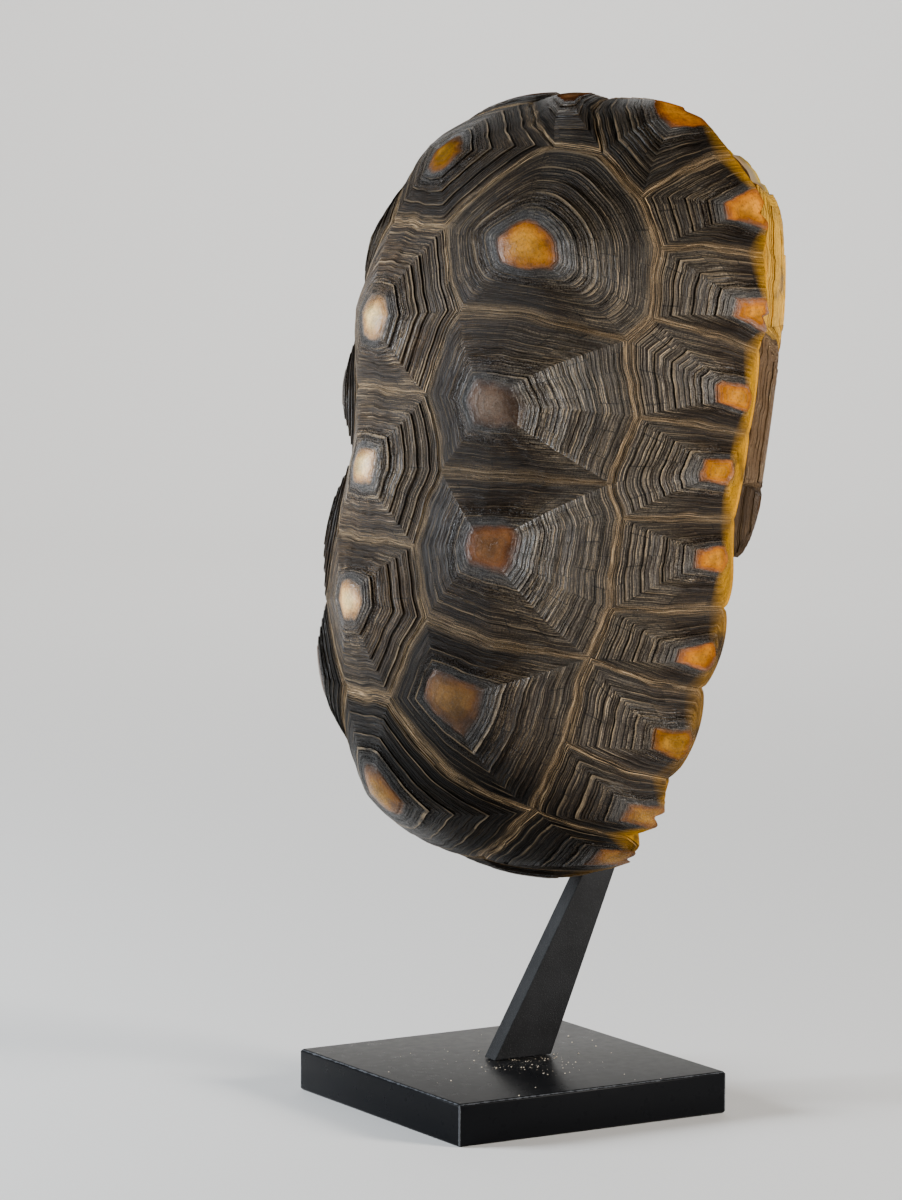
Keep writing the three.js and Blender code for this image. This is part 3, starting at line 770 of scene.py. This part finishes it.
def ringColor(maker, at, look):
    # how light each line is: darker where the rings are tight
    tone = maker.times(at.line, maker.rise(at.streak, 0.68, 0.45), maker.rise(at.fine, 0.48, 0.58),
                       maker.rise(at.thread, 0.5, 0.8), maker.rise(at.tight, 1.0, -0.5),
                       maker.rise(at.cell, 0.85, 0.3), at.grit, clamp=True)
    warm = [(0.0, look["pit"]), (0.22, look["brown"]), (0.54, look["tan"]), (0.98, look["pale"])]
    cool = [(0.0, look["pit"]), (0.19, look["brown"]), (0.53, look["ash"]), (0.98, look["pale"])]
    patch = maker.span(maker.noise(at.spot, 24.0, 2.0), 0.40, 0.60)
    coolness = maker.plus(maker.times(patch, 0.55), at.flank)
    coolness = maker.times(coolness, maker.minus(1.0, at.low), clamp=True)
    coolness = maker.times(coolness, maker.rise(at.tight, 1.0, -0.75))
    color = maker.mix(coolness, maker.ramp(tone, warm), maker.ramp(tone, cool))
    # painted shade: the horn darkened toward the bottom and the top
    shade = maker.minus(maker.rise(at.low, 1.0, -0.9), maker.times(at.high, 0.62))
    color = maker.mix(1.0, color, maker.vector(shade, shade, shade), "MULTIPLY")

    # grey horn round the hatchling plate, with thin light lines: partly the horn's own grey, partly a painted
    # sheen with painted glints on the lines
    patch = maker.span(maker.noise(at.spot, 34.0, 2.0), 0.36, 0.58)
    greyHornAndSheen = maker.times(maker.span(at.share, 0.34, 0.06), patch, maker.rise(at.low, 0.8, -0.5))
    shine = maker.times(maker.math("POWER", at.line, 1.6), maker.span(at.thread, 0.2, 0.9, 0.2, 1.0))
    color = maker.mix(greyHornAndSheen, color, maker.mix(shine, look["steel"], look["shine"]))

    # painted highlight on the edges of the ledges, painted shade in the grooves under them, and dark cuts
    # between the blocks
    edge = maker.times(maker.span(at.crest, 0.5, 0.98), maker.span(at.streak, 0.0, 0.9, 0.05, 0.35))
    color = maker.mix(edge, color, look["pale"])
    color = maker.mix(maker.span(at.crest, -0.35, -0.95, 0.0, 0.65), color, look["pit"])
    return maker.mix(maker.times(at.cut, 0.8), color, look["pit"])


def seamColor(maker, at, look, color):
    # the youngest rings at the seams: tan ropes side by side, with dust between them
    young = maker.span(at.share, maker.rise(at.tight, 0.91, -0.14), 0.97)
    ropeAt = maker.math("FRACT", maker.times(at.phase, lineLook["ropesPerRing"]))
    strand = maker.ramp(ropeAt, lineLook["rope"])
    rope = maker.times(strand, maker.span(at.thread, 0.2, 0.7, 0.15, 1.25), at.grit, clamp=True)
    color = maker.mix(maker.times(young, 0.85), color, maker.mix(rope, look["pit"], look["seamTan"]))
    cord = maker.times(maker.span(at.share, 0.945, 0.965), maker.span(at.share, 0.99, 0.975),
                       maker.span(at.thread, 0.35, 0.75, 0.0, 0.6),
                       maker.span(maker.noise(at.spot, 75.0, 2.0), 0.45, 0.62, 0.1, 1.0))
    color = maker.mix(cord, color, look["cord"])
    speck = maker.times(maker.span(maker.noise(at.spot, 2400.0, 2.0), 0.66, 0.72), young, 0.6)
    color = maker.mix(speck, color, look["dust"])
    return maker.mix(maker.span(at.share, 0.992, 1.0, 0.0, 0.6), color, look["pit"])


def goldColor(maker, at, look, color):
    # the rim and the belly: the plate's own clear colour, with thin brown lines
    lines = maker.times(maker.minus(1.0, at.fine), 0.22)
    gold = maker.mix(lines, maker.mix(look["tintShare"], look["goldEdge"], at.tint), look["brown"])
    gold = maker.mix(0.5, gold, maker.mix(1.0, gold, maker.vector(at.grit, at.grit, at.grit), "MULTIPLY"))
    return maker.mix(maker.times(at.gold, maker.span(maker.noise(at.spot, 70.0), 0.25, 0.5)), color, gold)


def hatchlingColor(maker, at, look, color):
    # the hatchling plate itself: clear, grained and darker toward its edge
    grain = maker.noise(at.spot, 1100.0, 4.0, 0.65)
    cloud = maker.span(maker.noise(at.spot, 120.0, 4.0), 0.3, 0.7, 0.5, 1.35)
    clear = maker.mix(1.0, at.tint, maker.vector(cloud, cloud, cloud), "MULTIPLY")
    clear = maker.mix(maker.span(grain, 0.48, 0.7, 0.0, 0.45), clear, look["brown"])
    ragged = maker.plus(at.areola, maker.times(maker.minus(maker.noise(at.spot, 85.0), 0.5), 1.3))
    darker = maker.mix(1.0, clear, look["darkerEdge"], "MULTIPLY")
    clear = maker.mix(maker.span(ragged, 1.75, 0.9, 0.0, 0.85), clear, darker)
    at.spread = maker.times(maker.span(ragged, 0.45, 1.3), maker.span(at.areola, 0.0, 0.25),
                            maker.rise(at.fine, 0.8, 0.2))
    return maker.mix(at.spread, color, clear)


def hornMaterial(name, look):
    material, maker, surface = newMaterial(name)
    at = readPlate(maker)
    addLines(maker, at)
    color = ringColor(maker, at, look)
    color = seamColor(maker, at, look, color)
    color = goldColor(maker, at, look, color)
    color = hatchlingColor(maker, at, look, color)
    inner = maker.mix(maker.span(maker.noise(at.spot, 60.0, 5.0), 0.35, 0.65), look["bone"], look["seamTan"])
    color = maker.mix(at.bone, color, inner)

    rough = maker.rise(maker.span(at.share, 0.25, 0.9), 0.27, 0.29)
    rough = maker.plus(rough, maker.times(maker.minus(at.crumb, 0.5), 0.3))
    rough = maker.plus(rough, maker.times(at.bone, 0.35), clamp=True)
    gloss = maker.minus(look["gloss"], maker.times(at.gold, 0.22))
    gloss = maker.minus(gloss, maker.plus(maker.times(at.low, 0.22), maker.times(at.high, 0.2)))
    gloss = maker.minus(gloss, maker.times(at.spread, at.rimward, 0.37), clamp=True)
    relief = maker.plus(maker.times(at.line, 0.5), maker.times(at.fine, 0.3))
    relief = maker.times(maker.plus(relief, maker.times(at.thread, 0.4)), maker.minus(1.0, at.spread))
    relief = maker.plus(relief, maker.times(at.crumb, 0.3))
    surface.inputs["Specular IOR Level"].default_value = look["gloss"]
    joinInputs(maker, surface, Base_Color=color, Roughness=rough, Normal=maker.bump(relief, look),
               Specular_IOR_Level=gloss)
    return material


# ---- relief that follows the rings, as a node tree with named inputs

ledgeLook = {"ledgeScale": 1.0, "grainDepth": 0.14 * mm, "grainSize": 1.6 * mm, "seed": 7}


def newTree(name, **kinds):
    tree = bpy.data.node_groups.new(name, "GeometryNodeTree")
    tree.interface.new_socket("Geometry", in_out="OUTPUT", socket_type="NodeSocketGeometry")
    for word, kind in {"Geometry": "Geometry", **kinds, "seed": "Int", "material": "Material"}.items():
        tree.interface.new_socket(word, in_out="INPUT", socket_type="NodeSocket" + kind)
    maker = NodeMaker(tree)
    return tree, maker, maker.add("NodeGroupInput").outputs


def endTree(maker, geometry, given):
    whole = maker.add("GeometryNodeRealizeInstances", {"Geometry": geometry}).outputs[0]
    named = maker.add("GeometryNodeSetMaterial", {"Geometry": whole, "Material": given["material"]})
    maker.add("NodeGroupOutput", {"Geometry": named.outputs[0]})


def ledgeTree():
    tree, maker, given = newTree("ledgeRelief", ledgeScale="Float", grainDepth="Float", grainSize="Float")
    ledge = maker.add("GeometryNodeInputNamedAttribute", {"Name": "ledge"}, data_type="FLOAT").outputs[0]
    skin = maker.add("GeometryNodeInputNamedAttribute", {"Name": "skin"}, data_type="FLOAT").outputs[0]
    position = maker.add("GeometryNodeInputPosition").outputs[0]
    inputs = {"Vector": position, "W": given["seed"], "Scale": maker.math("DIVIDE", 1.0, given["grainSize"]),
              "Detail": 3.0}
    noise = maker.add("ShaderNodeTexNoise", inputs, noise_dimensions="4D").outputs[0]
    grain = maker.times(maker.minus(noise, 0.5), given["grainDepth"])
    push = maker.times(maker.times(ledge, given["ledgeScale"]), mm)
    push = maker.plus(push, maker.times(grain, skin))
    normal = maker.add("GeometryNodeInputNormal").outputs[0]
    offset = maker.add("ShaderNodeVectorMath", {0: normal, "Scale": push}, operation="SCALE").outputs[0]
    moved = maker.add("GeometryNodeSetPosition", {"Geometry": given["Geometry"], "Offset": offset})
    endTree(maker, moved.outputs[0], given)
    return tree


def runTree(piece, tree, values):
    # the inputs go in by their sockets' identifiers, and the result becomes the piece's plain mesh
    sockets = {item.name: item.identifier for item in tree.interface.items_tree if item.in_out == "INPUT"}
    modifier = piece.modifiers.new(tree.name, "NODES")
    modifier.node_group = tree
    for name, value in values.items():
        modifier[sockets[name]] = value
    piece.update_tag()
    graph = bpy.context.evaluated_depsgraph_get()
    mesh = bpy.data.meshes.new_from_object(piece.evaluated_get(graph))
    piece.modifiers.remove(modifier)
    old = piece.data
    piece.data = mesh
    bpy.data.meshes.remove(old)
    return piece


def finishHorn(piece, material, tree):
    runTree(piece, tree, {**ledgeLook, "material": material})
    piece.data.set_sharp_from_angle(angle=math.radians(hornLook["sharpAngle"]))
    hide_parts("shell")
    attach(piece, "root")
    print("made", piece.name, len(piece.data.polygons), "faces")


# ---- the back shield

def backInward(spot):
    near = smooth(np.hypot(spot[..., 0], spot[..., 1]), *backForm["rimWallSpan"])
    return backPoint(spot, -(backForm["wall"] + (backForm["rimWall"] - backForm["wall"]) * near))


def backLip(a, b):
    def lowered(place, drop, lift):
        turn = math.hypot(*place)
        reach = float(planRadius(math.atan2(place[1], place[0])))
        share = 1 + math.degrees(drop / reach) / turn
        return backPoint(np.array(place) * share, lift)
    tuck = backForm["lipTuck"]
    steps = backForm["lipSteps"] + ((1.0, -backForm["rimWall"] / tuck),)
    fall = backForm["lipDrop"]
    return [[lowered(place, fall * drop, lift * tuck) for place in (a, b)] for drop, lift in steps]


# the first seed of each row of plates, and what the left side adds
seeds = {"vertebral": 11, "costal": 31, "marginal": 131, "tail": 151, "left": 50, "belly": 211,
         "bellyLeft": 20}


def makeBack(tree):
    rimPlaces = rim + prongs + [mirrored(place) for place in rim + prongs]

    def isEdge(a, b):
        return any(same(a, place) for place in rimPlaces) and any(same(b, place) for place in rimPlaces)

    horn = hornMaterial("ringedHorn", hornLook)

    def addWhole(group, plate, kind, seed):
        group.addPlate(outlineOf(bothHalves(plate["corners"]), isEdge, backForm), plate, kind, seed)

    def addHalf(group, kind, side, seed):
        for i, plate in enumerate(kind["plates"]):
            corners = [side(place) for place in plate["corners"]]
            sided = {**plate, "core": side(plate["core"])}
            group.addPlate(outlineOf(corners, isEdge, backForm), sided, kind, seed + i)

    group = PlateGroup(backPoint, backInward, backForm, False)
    for i, plate in enumerate(vertebralPlates["plates"]):
        addWhole(group, plate, vertebralPlates, seeds["vertebral"] + i)
    group.closeEdges(None)
    finishHorn(group.build("vertebralPlates"), horn, tree)
    for side, word, shift in ((lambda place: place, "Right", 0), (mirrored, "Left", seeds["left"])):
        group = PlateGroup(backPoint, backInward, backForm, False)
        addHalf(group, costalPlates, side, seeds["costal"] + shift)
        group.closeEdges(None)
        finishHorn(group.build("costalPlates" + word), horn, tree)
        group = PlateGroup(backPoint, backInward, backForm, False)
        addHalf(group, marginalPlates, side, seeds["marginal"] + shift)
        if word == "Right":
            addWhole(group, marginalPlates["tailPlate"], marginalPlates, seeds["tail"])
        group.closeEdges(backLip)
        finishHorn(group.build("marginalPlates" + word), horn, tree)


# ---- the belly plates and the bridges

# the belly plates take their own colour all over, more strongly than the back
bellyLook = {
    **hornLook, "pit": (0.01, 0.006, 0.003), "brown": (0.05, 0.028, 0.012), "tan": (0.20, 0.11, 0.04),
    "pale": (0.55, 0.38, 0.17), "ash": (0.22, 0.15, 0.09), "steel": (0.12, 0.08, 0.05), "tintShare": 1.0,
}


def makeBelly(tree):
    rows = [{**plate, "corners": [bellyPlace(corner) for corner in plate["corners"]],
             "core": bellyPlace(plate["core"])} for plate in bellyPlates["plates"]]
    counts = {}

    def keyOf(a, b):
        return tuple(sorted((round(p[0], 4), round(abs(p[1]), 4)) for p in (a, b)))

    for row in rows:
        for i, corner in enumerate(row["corners"]):
            key = keyOf(corner, row["corners"][(i + 1) % len(row["corners"])])
            counts[key] = counts.get(key, 0) + 1

    def isEdge(a, b):
        return abs(a[1]) + abs(b[1]) > nearly and counts[keyOf(a, b)] == 1

    group = PlateGroup(bellyPoint, lambda spot: bellyPoint(spot, -bellyForm["wall"]), bellyForm, True)
    for side, shift in ((lambda place: place, 0), (mirrored, seeds["bellyLeft"])):
        for i, row in enumerate(rows):
            corners = [side(place) for place in row["corners"]]
            sided = {**row, "core": side(row["core"])}
            outline = outlineOf(corners, isEdge, bellyForm)
            group.addPlate(outline, sided, bellyPlates, seeds["belly"] + i + shift)
    group.closeEdges(None)
    finishHorn(group.build("bellyPlates"), hornMaterial("bellyHorn", bellyLook), tree)


# ---- the stand

barLook = {
    "rounding": 0.45 * mm, "coat": (0.006, 0.0062, 0.007), "cloudier": 1.7, "grain": (0.045, 0.045, 0.047),
    "grainScale": 1900.0, "bump": 0.8, "bumpDepth": 0.4 * mm, "gloss": 0.14,
}
plateLook = {
    "rounding": 0.3 * mm, "lacquer": (0.004, 0.0042, 0.005), "worn": (0.10, 0.105, 0.115), "wornShare": 0.75,
    "wornReach": (0.45 * mm, 0.8 * mm), "dust": (0.33, 0.31, 0.28), "speck": (0.55, 0.48, 0.38),
    "footEnd": 26 * mm, "bump": 0.03, "bumpDepth": 0.2 * mm, "gloss": 0.035,
}


# angles in degrees: below which faces count as flat, and above which an edge is rounded or drawn sharp
edgeForm = {"merge": 0.01 * mm, "flat": 1, "sharp": 20, "crease": 40, "segments": 3}


def dressedCopy(node, name, rounding):
    # a merged copy of the plain solid, with its edges rounded
    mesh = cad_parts[node].data.copy()
    mesh.materials.clear()
    body = bmesh.new()
    body.from_mesh(mesh)
    bmesh.ops.remove_doubles(body, verts=body.verts, dist=edgeForm["merge"])
    flat = math.radians(edgeForm["flat"])
    bmesh.ops.dissolve_limit(body, angle_limit=flat, verts=body.verts, edges=body.edges)
    sharp = [edge for edge in body.edges if edge.calc_face_angle(0) > math.radians(edgeForm["sharp"])]
    bmesh.ops.bevel(body, geom=sharp, offset=rounding, segments=edgeForm["segments"], profile=0.5,
                    affect="EDGES", clamp_overlap=True)
    for face in body.faces:
        face.smooth = True
    body.to_mesh(mesh)
    body.free()
    mesh.set_sharp_from_angle(angle=math.radians(edgeForm["crease"]))
    mesh.name = name
    return inScene(name, mesh)


dustLook = {"perSquareMetre": 900000.0, "reach": 38 * mm, "clumpScale": 210.0, "speckMost": 0.42 * mm,
            "seed": 5}
dustForm = {"fade": 2.6, "thickest": 0.9, "everywhere": 0.004, "clump": (0.45, 0.7, 0.02, 1.0),
            "sizes": (0.2, 1.0)}
# the middle of the dust, from the bar's low corner
dustAt = {"x": 10 * mm, "y": -7 * mm}


def dustTree():
    # specks on the top of the plate, thickest round the foot of the bar
    tree, maker, given = newTree("settledDust", perSquareMetre="Float", reach="Float", clumpScale="Float",
                                 speckMost="Float", footAt="Vector")
    normal = maker.add("ShaderNodeSeparateXYZ", {0: maker.add("GeometryNodeInputNormal").outputs[0]}).outputs
    onTop = maker.math("GREATER_THAN", normal[2], 0.99)
    inputs = {"Mesh": given["Geometry"], "Selection": onTop, "Density": given["perSquareMetre"],
              "Seed": given["seed"]}
    scattered = maker.add("GeometryNodeDistributePointsOnFaces", inputs)
    position = maker.add("GeometryNodeInputPosition").outputs[0]
    away = maker.distance(position, given["footAt"])
    close = maker.minus(1.0, maker.math("DIVIDE", away, given["reach"]), clamp=True)
    clump = maker.add("ShaderNodeTexNoise", {"Vector": position, "Scale": given["clumpScale"]}).outputs[0]
    chance = maker.times(maker.math("POWER", close, dustForm["fade"]), maker.span(clump, *dustForm["clump"]))
    chance = maker.plus(maker.times(chance, dustForm["thickest"]), dustForm["everywhere"])
    draw = maker.add("FunctionNodeRandomValue", {"Seed": given["seed"]}, data_type="FLOAT").outputs[1]
    dropped = maker.math("GREATER_THAN", draw, chance)
    kept = maker.add("GeometryNodeDeleteGeometry", {"Geometry": scattered.outputs[0], "Selection": dropped})
    ball = maker.add("GeometryNodeMeshIcoSphere", {"Radius": 1.0, "Subdivisions": 1})
    least, most = dustForm["sizes"]
    size = maker.add("FunctionNodeRandomValue", {2: least, 3: most, "Seed": 3}, data_type="FLOAT").outputs[1]
    size = maker.times(maker.math("POWER", size, 2.0), given["speckMost"])
    inputs = {"Points": kept.outputs[0], "Instance": ball.outputs[0], "Scale": maker.vector(size, size, size)}
    specks = maker.add("GeometryNodeInstanceOnPoints", inputs)
    solid = maker.add("GeometryNodeRealizeInstances", {"Geometry": specks.outputs[0]})
    inputs = {"Geometry": solid.outputs[0], "Name": "speck", "Value": 1.0}
    marked = maker.add("GeometryNodeStoreNamedAttribute", inputs, data_type="FLOAT", domain="POINT")
    both = maker.add("GeometryNodeJoinGeometry")
    tree.links.new(marked.outputs[0], both.inputs[0])
    tree.links.new(given["Geometry"], both.inputs[0])
    endTree(maker, both.outputs[0], given)
    return tree


def powderCoat():
    material, maker, surface = newMaterial("powderCoat")
    spot = maker.add("ShaderNodeTexCoord").outputs["Object"]
    grain = maker.noise(spot, barLook["grainScale"], 3.0, 0.6)
    cloud = maker.noise(spot, 60.0, 3.0)
    cloudier = tuple(barLook["cloudier"] * channel for channel in barLook["coat"])
    color = maker.mix(maker.span(cloud, 0.35, 0.7), barLook["coat"], cloudier)
    color = maker.mix(maker.span(grain, 0.54, 0.70, 0.0, 0.7), color, barLook["grain"])
    rough = maker.span(grain, 0.3, 0.7, 0.48, 0.62)
    joinInputs(maker, surface, Base_Color=color, Roughness=rough, Normal=maker.bump(grain, barLook),
               Specular_IOR_Level=barLook["gloss"])
    return material


def lacquer():
    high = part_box("base")[1]
    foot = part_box("post")
    material, maker, surface = newMaterial("blackLacquer")
    spot = maker.add("ShaderNodeTexCoord").outputs["Object"]
    axes = maker.add("ShaderNodeSeparateXYZ", {0: spot}).outputs
    toSide = [maker.minus(float(high[k]), maker.math("ABSOLUTE", axes[k])) for k in (0, 1)]
    toTop = maker.minus(float(high[2]), axes[2])
    nearer = maker.math("MINIMUM", toSide[0], toSide[1])
    further = maker.math("MAXIMUM", toSide[0], toSide[1])
    toEdge = maker.math("MAXIMUM", nearer, maker.math("MINIMUM", further, toTop))
    scratch = maker.noise(spot, 420.0, 5.0, 0.7)
    reach = maker.span(scratch, 0.40, 0.75, *plateLook["wornReach"])
    worn = maker.math("LESS_THAN", toEdge, reach)
    color = maker.mix(maker.times(worn, plateLook["wornShare"]), plateLook["lacquer"], plateLook["worn"])

    # dust on the top, thickest round the foot of the bar
    footX = float(foot[0][0] + plateLook["footEnd"]) / 2
    footAt = maker.vector(footX, float(foot[0][1] + foot[1][1]) / 2, 0.0)
    flatSpot = maker.vector(axes[0], axes[1])
    away = maker.distance(flatSpot, footAt)
    fine = maker.noise(spot, 1900.0, 4.0, 0.75)
    near = maker.span(away, 0.05, 0.008, 0.0, 0.12)
    dusty = maker.span(maker.plus(fine, near), 0.68, 0.80)
    onTop = maker.span(toTop, 0.0004, 0.0001)
    haze = maker.times(maker.span(maker.noise(spot, 30.0, 3.0), 0.4, 0.7), 0.02)
    dustShare = maker.times(maker.plus(maker.times(dusty, 0.55), haze), onTop)
    color = maker.mix(dustShare, color, plateLook["dust"])
    speck = maker.attribute("speck").outputs["Fac"]
    color = maker.mix(speck, color, plateLook["speck"])
    rough = maker.plus(maker.span(maker.noise(spot, 240.0, 4.0), 0.3, 0.7, 0.27, 0.31),
                       maker.times(dustShare, 0.5), clamp=True)
    joinInputs(maker, surface, Base_Color=color, Roughness=rough, Normal=maker.bump(scratch, plateLook),
               Specular_IOR_Level=plateLook["gloss"])
    return material


def makeStand():
    bar = dressedCopy("post", "leaningBar", barLook["rounding"])
    bar.data.materials.append(powderCoat())
    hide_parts("post")
    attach(bar, "root")
    plate = dressedCopy("base", "squarePlate", plateLook["rounding"])
    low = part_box("post")[0]
    footAt = (float(low[0]) + dustAt["x"], float(low[1]) + dustAt["y"], float(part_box("base")[1][2]))
    runTree(plate, dustTree(), {**dustLook, "footAt": footAt, "material": lacquer()})
    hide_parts("base")
    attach(plate, "root")
    print("made the stand", len(plate.data.polygons), "faces in the plate")


# ---- camera, floor and light

cameraPlace = {"azimuth": -31.24, "elevation": 6.69, "roll": 0.20, "distance": 2.0204,
               "right": -0.02331, "up": 0.17861, "lens": 156.0}


def viewAxes():
    a = math.radians(cameraPlace["azimuth"])
    e = math.radians(cameraPlace["elevation"])
    r = math.radians(cameraPlace["roll"])
    back = Vector((math.sin(a) * math.cos(e), -math.cos(a) * math.cos(e), math.sin(e)))
    level = Vector((math.cos(a), math.sin(a), 0))
    raised = back.cross(level)
    right = level * math.cos(r) + raised * math.sin(r)
    up = raised * math.cos(r) - level * math.sin(r)
    return right, up, back


def placeCamera():
    right, up, back = viewAxes()
    plateTop = Vector((0, 0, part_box("base")[1][2]))
    eye = plateTop + right * cameraPlace["right"] + up * cameraPlace["up"] + back * cameraPlace["distance"]
    data = bpy.data.cameras.new("camera")
    data.lens = cameraPlace["lens"]
    data.sensor_width = 36
    data.clip_end = 20
    camera = inScene("camera", data)
    turn = Matrix((right, up, back)).transposed().to_4x4()
    camera.matrix_world = Matrix.Translation(eye) @ turn
    bpy.context.scene.camera = camera


stageLook = {"color": (0.80, 0.79, 0.775), "roughness": 0.75, "width": 9.0, "toward": 3.2, "behind": 2.0,
             "bend": 1.3, "bendSteps": 32, "high": 4.0}


def makeStage():
    # a pale sheet that lies flat under the object and curves up far behind it
    _, _, back = viewAxes()
    away = Vector((-back.x, -back.y, 0)).normalized()
    across = Vector((away.y, -away.x, 0))
    bend = stageLook["bend"]
    profile = [(-stageLook["toward"], 0.0), (stageLook["behind"], 0.0)]
    for k in range(1, stageLook["bendSteps"] + 1):
        turn = math.pi / 2 * k / stageLook["bendSteps"]
        profile.append((stageLook["behind"] + bend * math.sin(turn), bend * (1 - math.cos(turn))))
    profile.append((stageLook["behind"] + bend, stageLook["high"]))
    half = stageLook["width"] / 2
    points = [away * far + across * side + Vector((0, 0, high))
              for far, high in profile for side in (-half, half)]
    faces = [(2 * i, 2 * i + 1, 2 * i + 3, 2 * i + 2) for i in range(len(profile) - 1)]
    mesh = bpy.data.meshes.new("stage")
    mesh.from_pydata(points, [], faces)
    for face in mesh.polygons:
        face.use_smooth = True
    stage = inScene("stage", mesh)
    material, maker, surface = newMaterial("paleStage")
    joinInputs(maker, surface, Base_Color=(*stageLook["color"], 1), Roughness=stageLook["roughness"])
    mesh.materials.append(material)
    if mesh.polygons[0].normal.z < 0:
        mesh.flip_normals()


# each light's place and aim in metres from the middle of the object: right, up, back
lights = [
    {"name": "main", "at": (1.4, 0.3, 0.7), "size": 0.45, "power": 44, "color": (1.0, 0.96, 0.90)},
    {"name": "coolSide", "at": (-1.4, 0.35, 0.1), "size": 0.6, "power": 54, "color": (0.88, 0.94, 1.0)},
    {"name": "backdrop", "at": (0.0, 1.9, -1.6), "size": 1.2, "power": 50, "color": (1.0, 0.99, 0.97),
     "aim": (0.0, 0.4, -3.4)},
]
worldLook = {"color": (0.80, 0.81, 0.83), "strength": 0.06, "middle": 0.2}


def placeLights():
    right, _, back = viewAxes()

    def placeOf(offset):
        return Vector((0, 0, worldLook["middle"] + offset[1])) + right * offset[0] + back * offset[2]

    for light in lights:
        data = bpy.data.lights.new(light["name"], "AREA")
        data.shape = "SQUARE"
        data.size = light["size"]
        data.energy = light["power"]
        data.color = light["color"]
        lamp = inScene(light["name"], data)
        lamp.location = placeOf(light["at"])
        toAim = lamp.location - placeOf(light.get("aim", (0, 0, 0)))
        lamp.rotation_euler = toAim.to_track_quat("Z", "Y").to_euler()
    world = bpy.data.worlds.new("studio")
    bpy.context.scene.world = world
    world.use_nodes = True
    background = world.node_tree.nodes["Background"]
    background.inputs[0].default_value = (*worldLook["color"], 1)
    background.inputs[1].default_value = worldLook["strength"]


placeCamera()
makeStage()
placeLights()
relief = ledgeTree()
makeBack(relief)
makeBelly(relief)
makeStand()
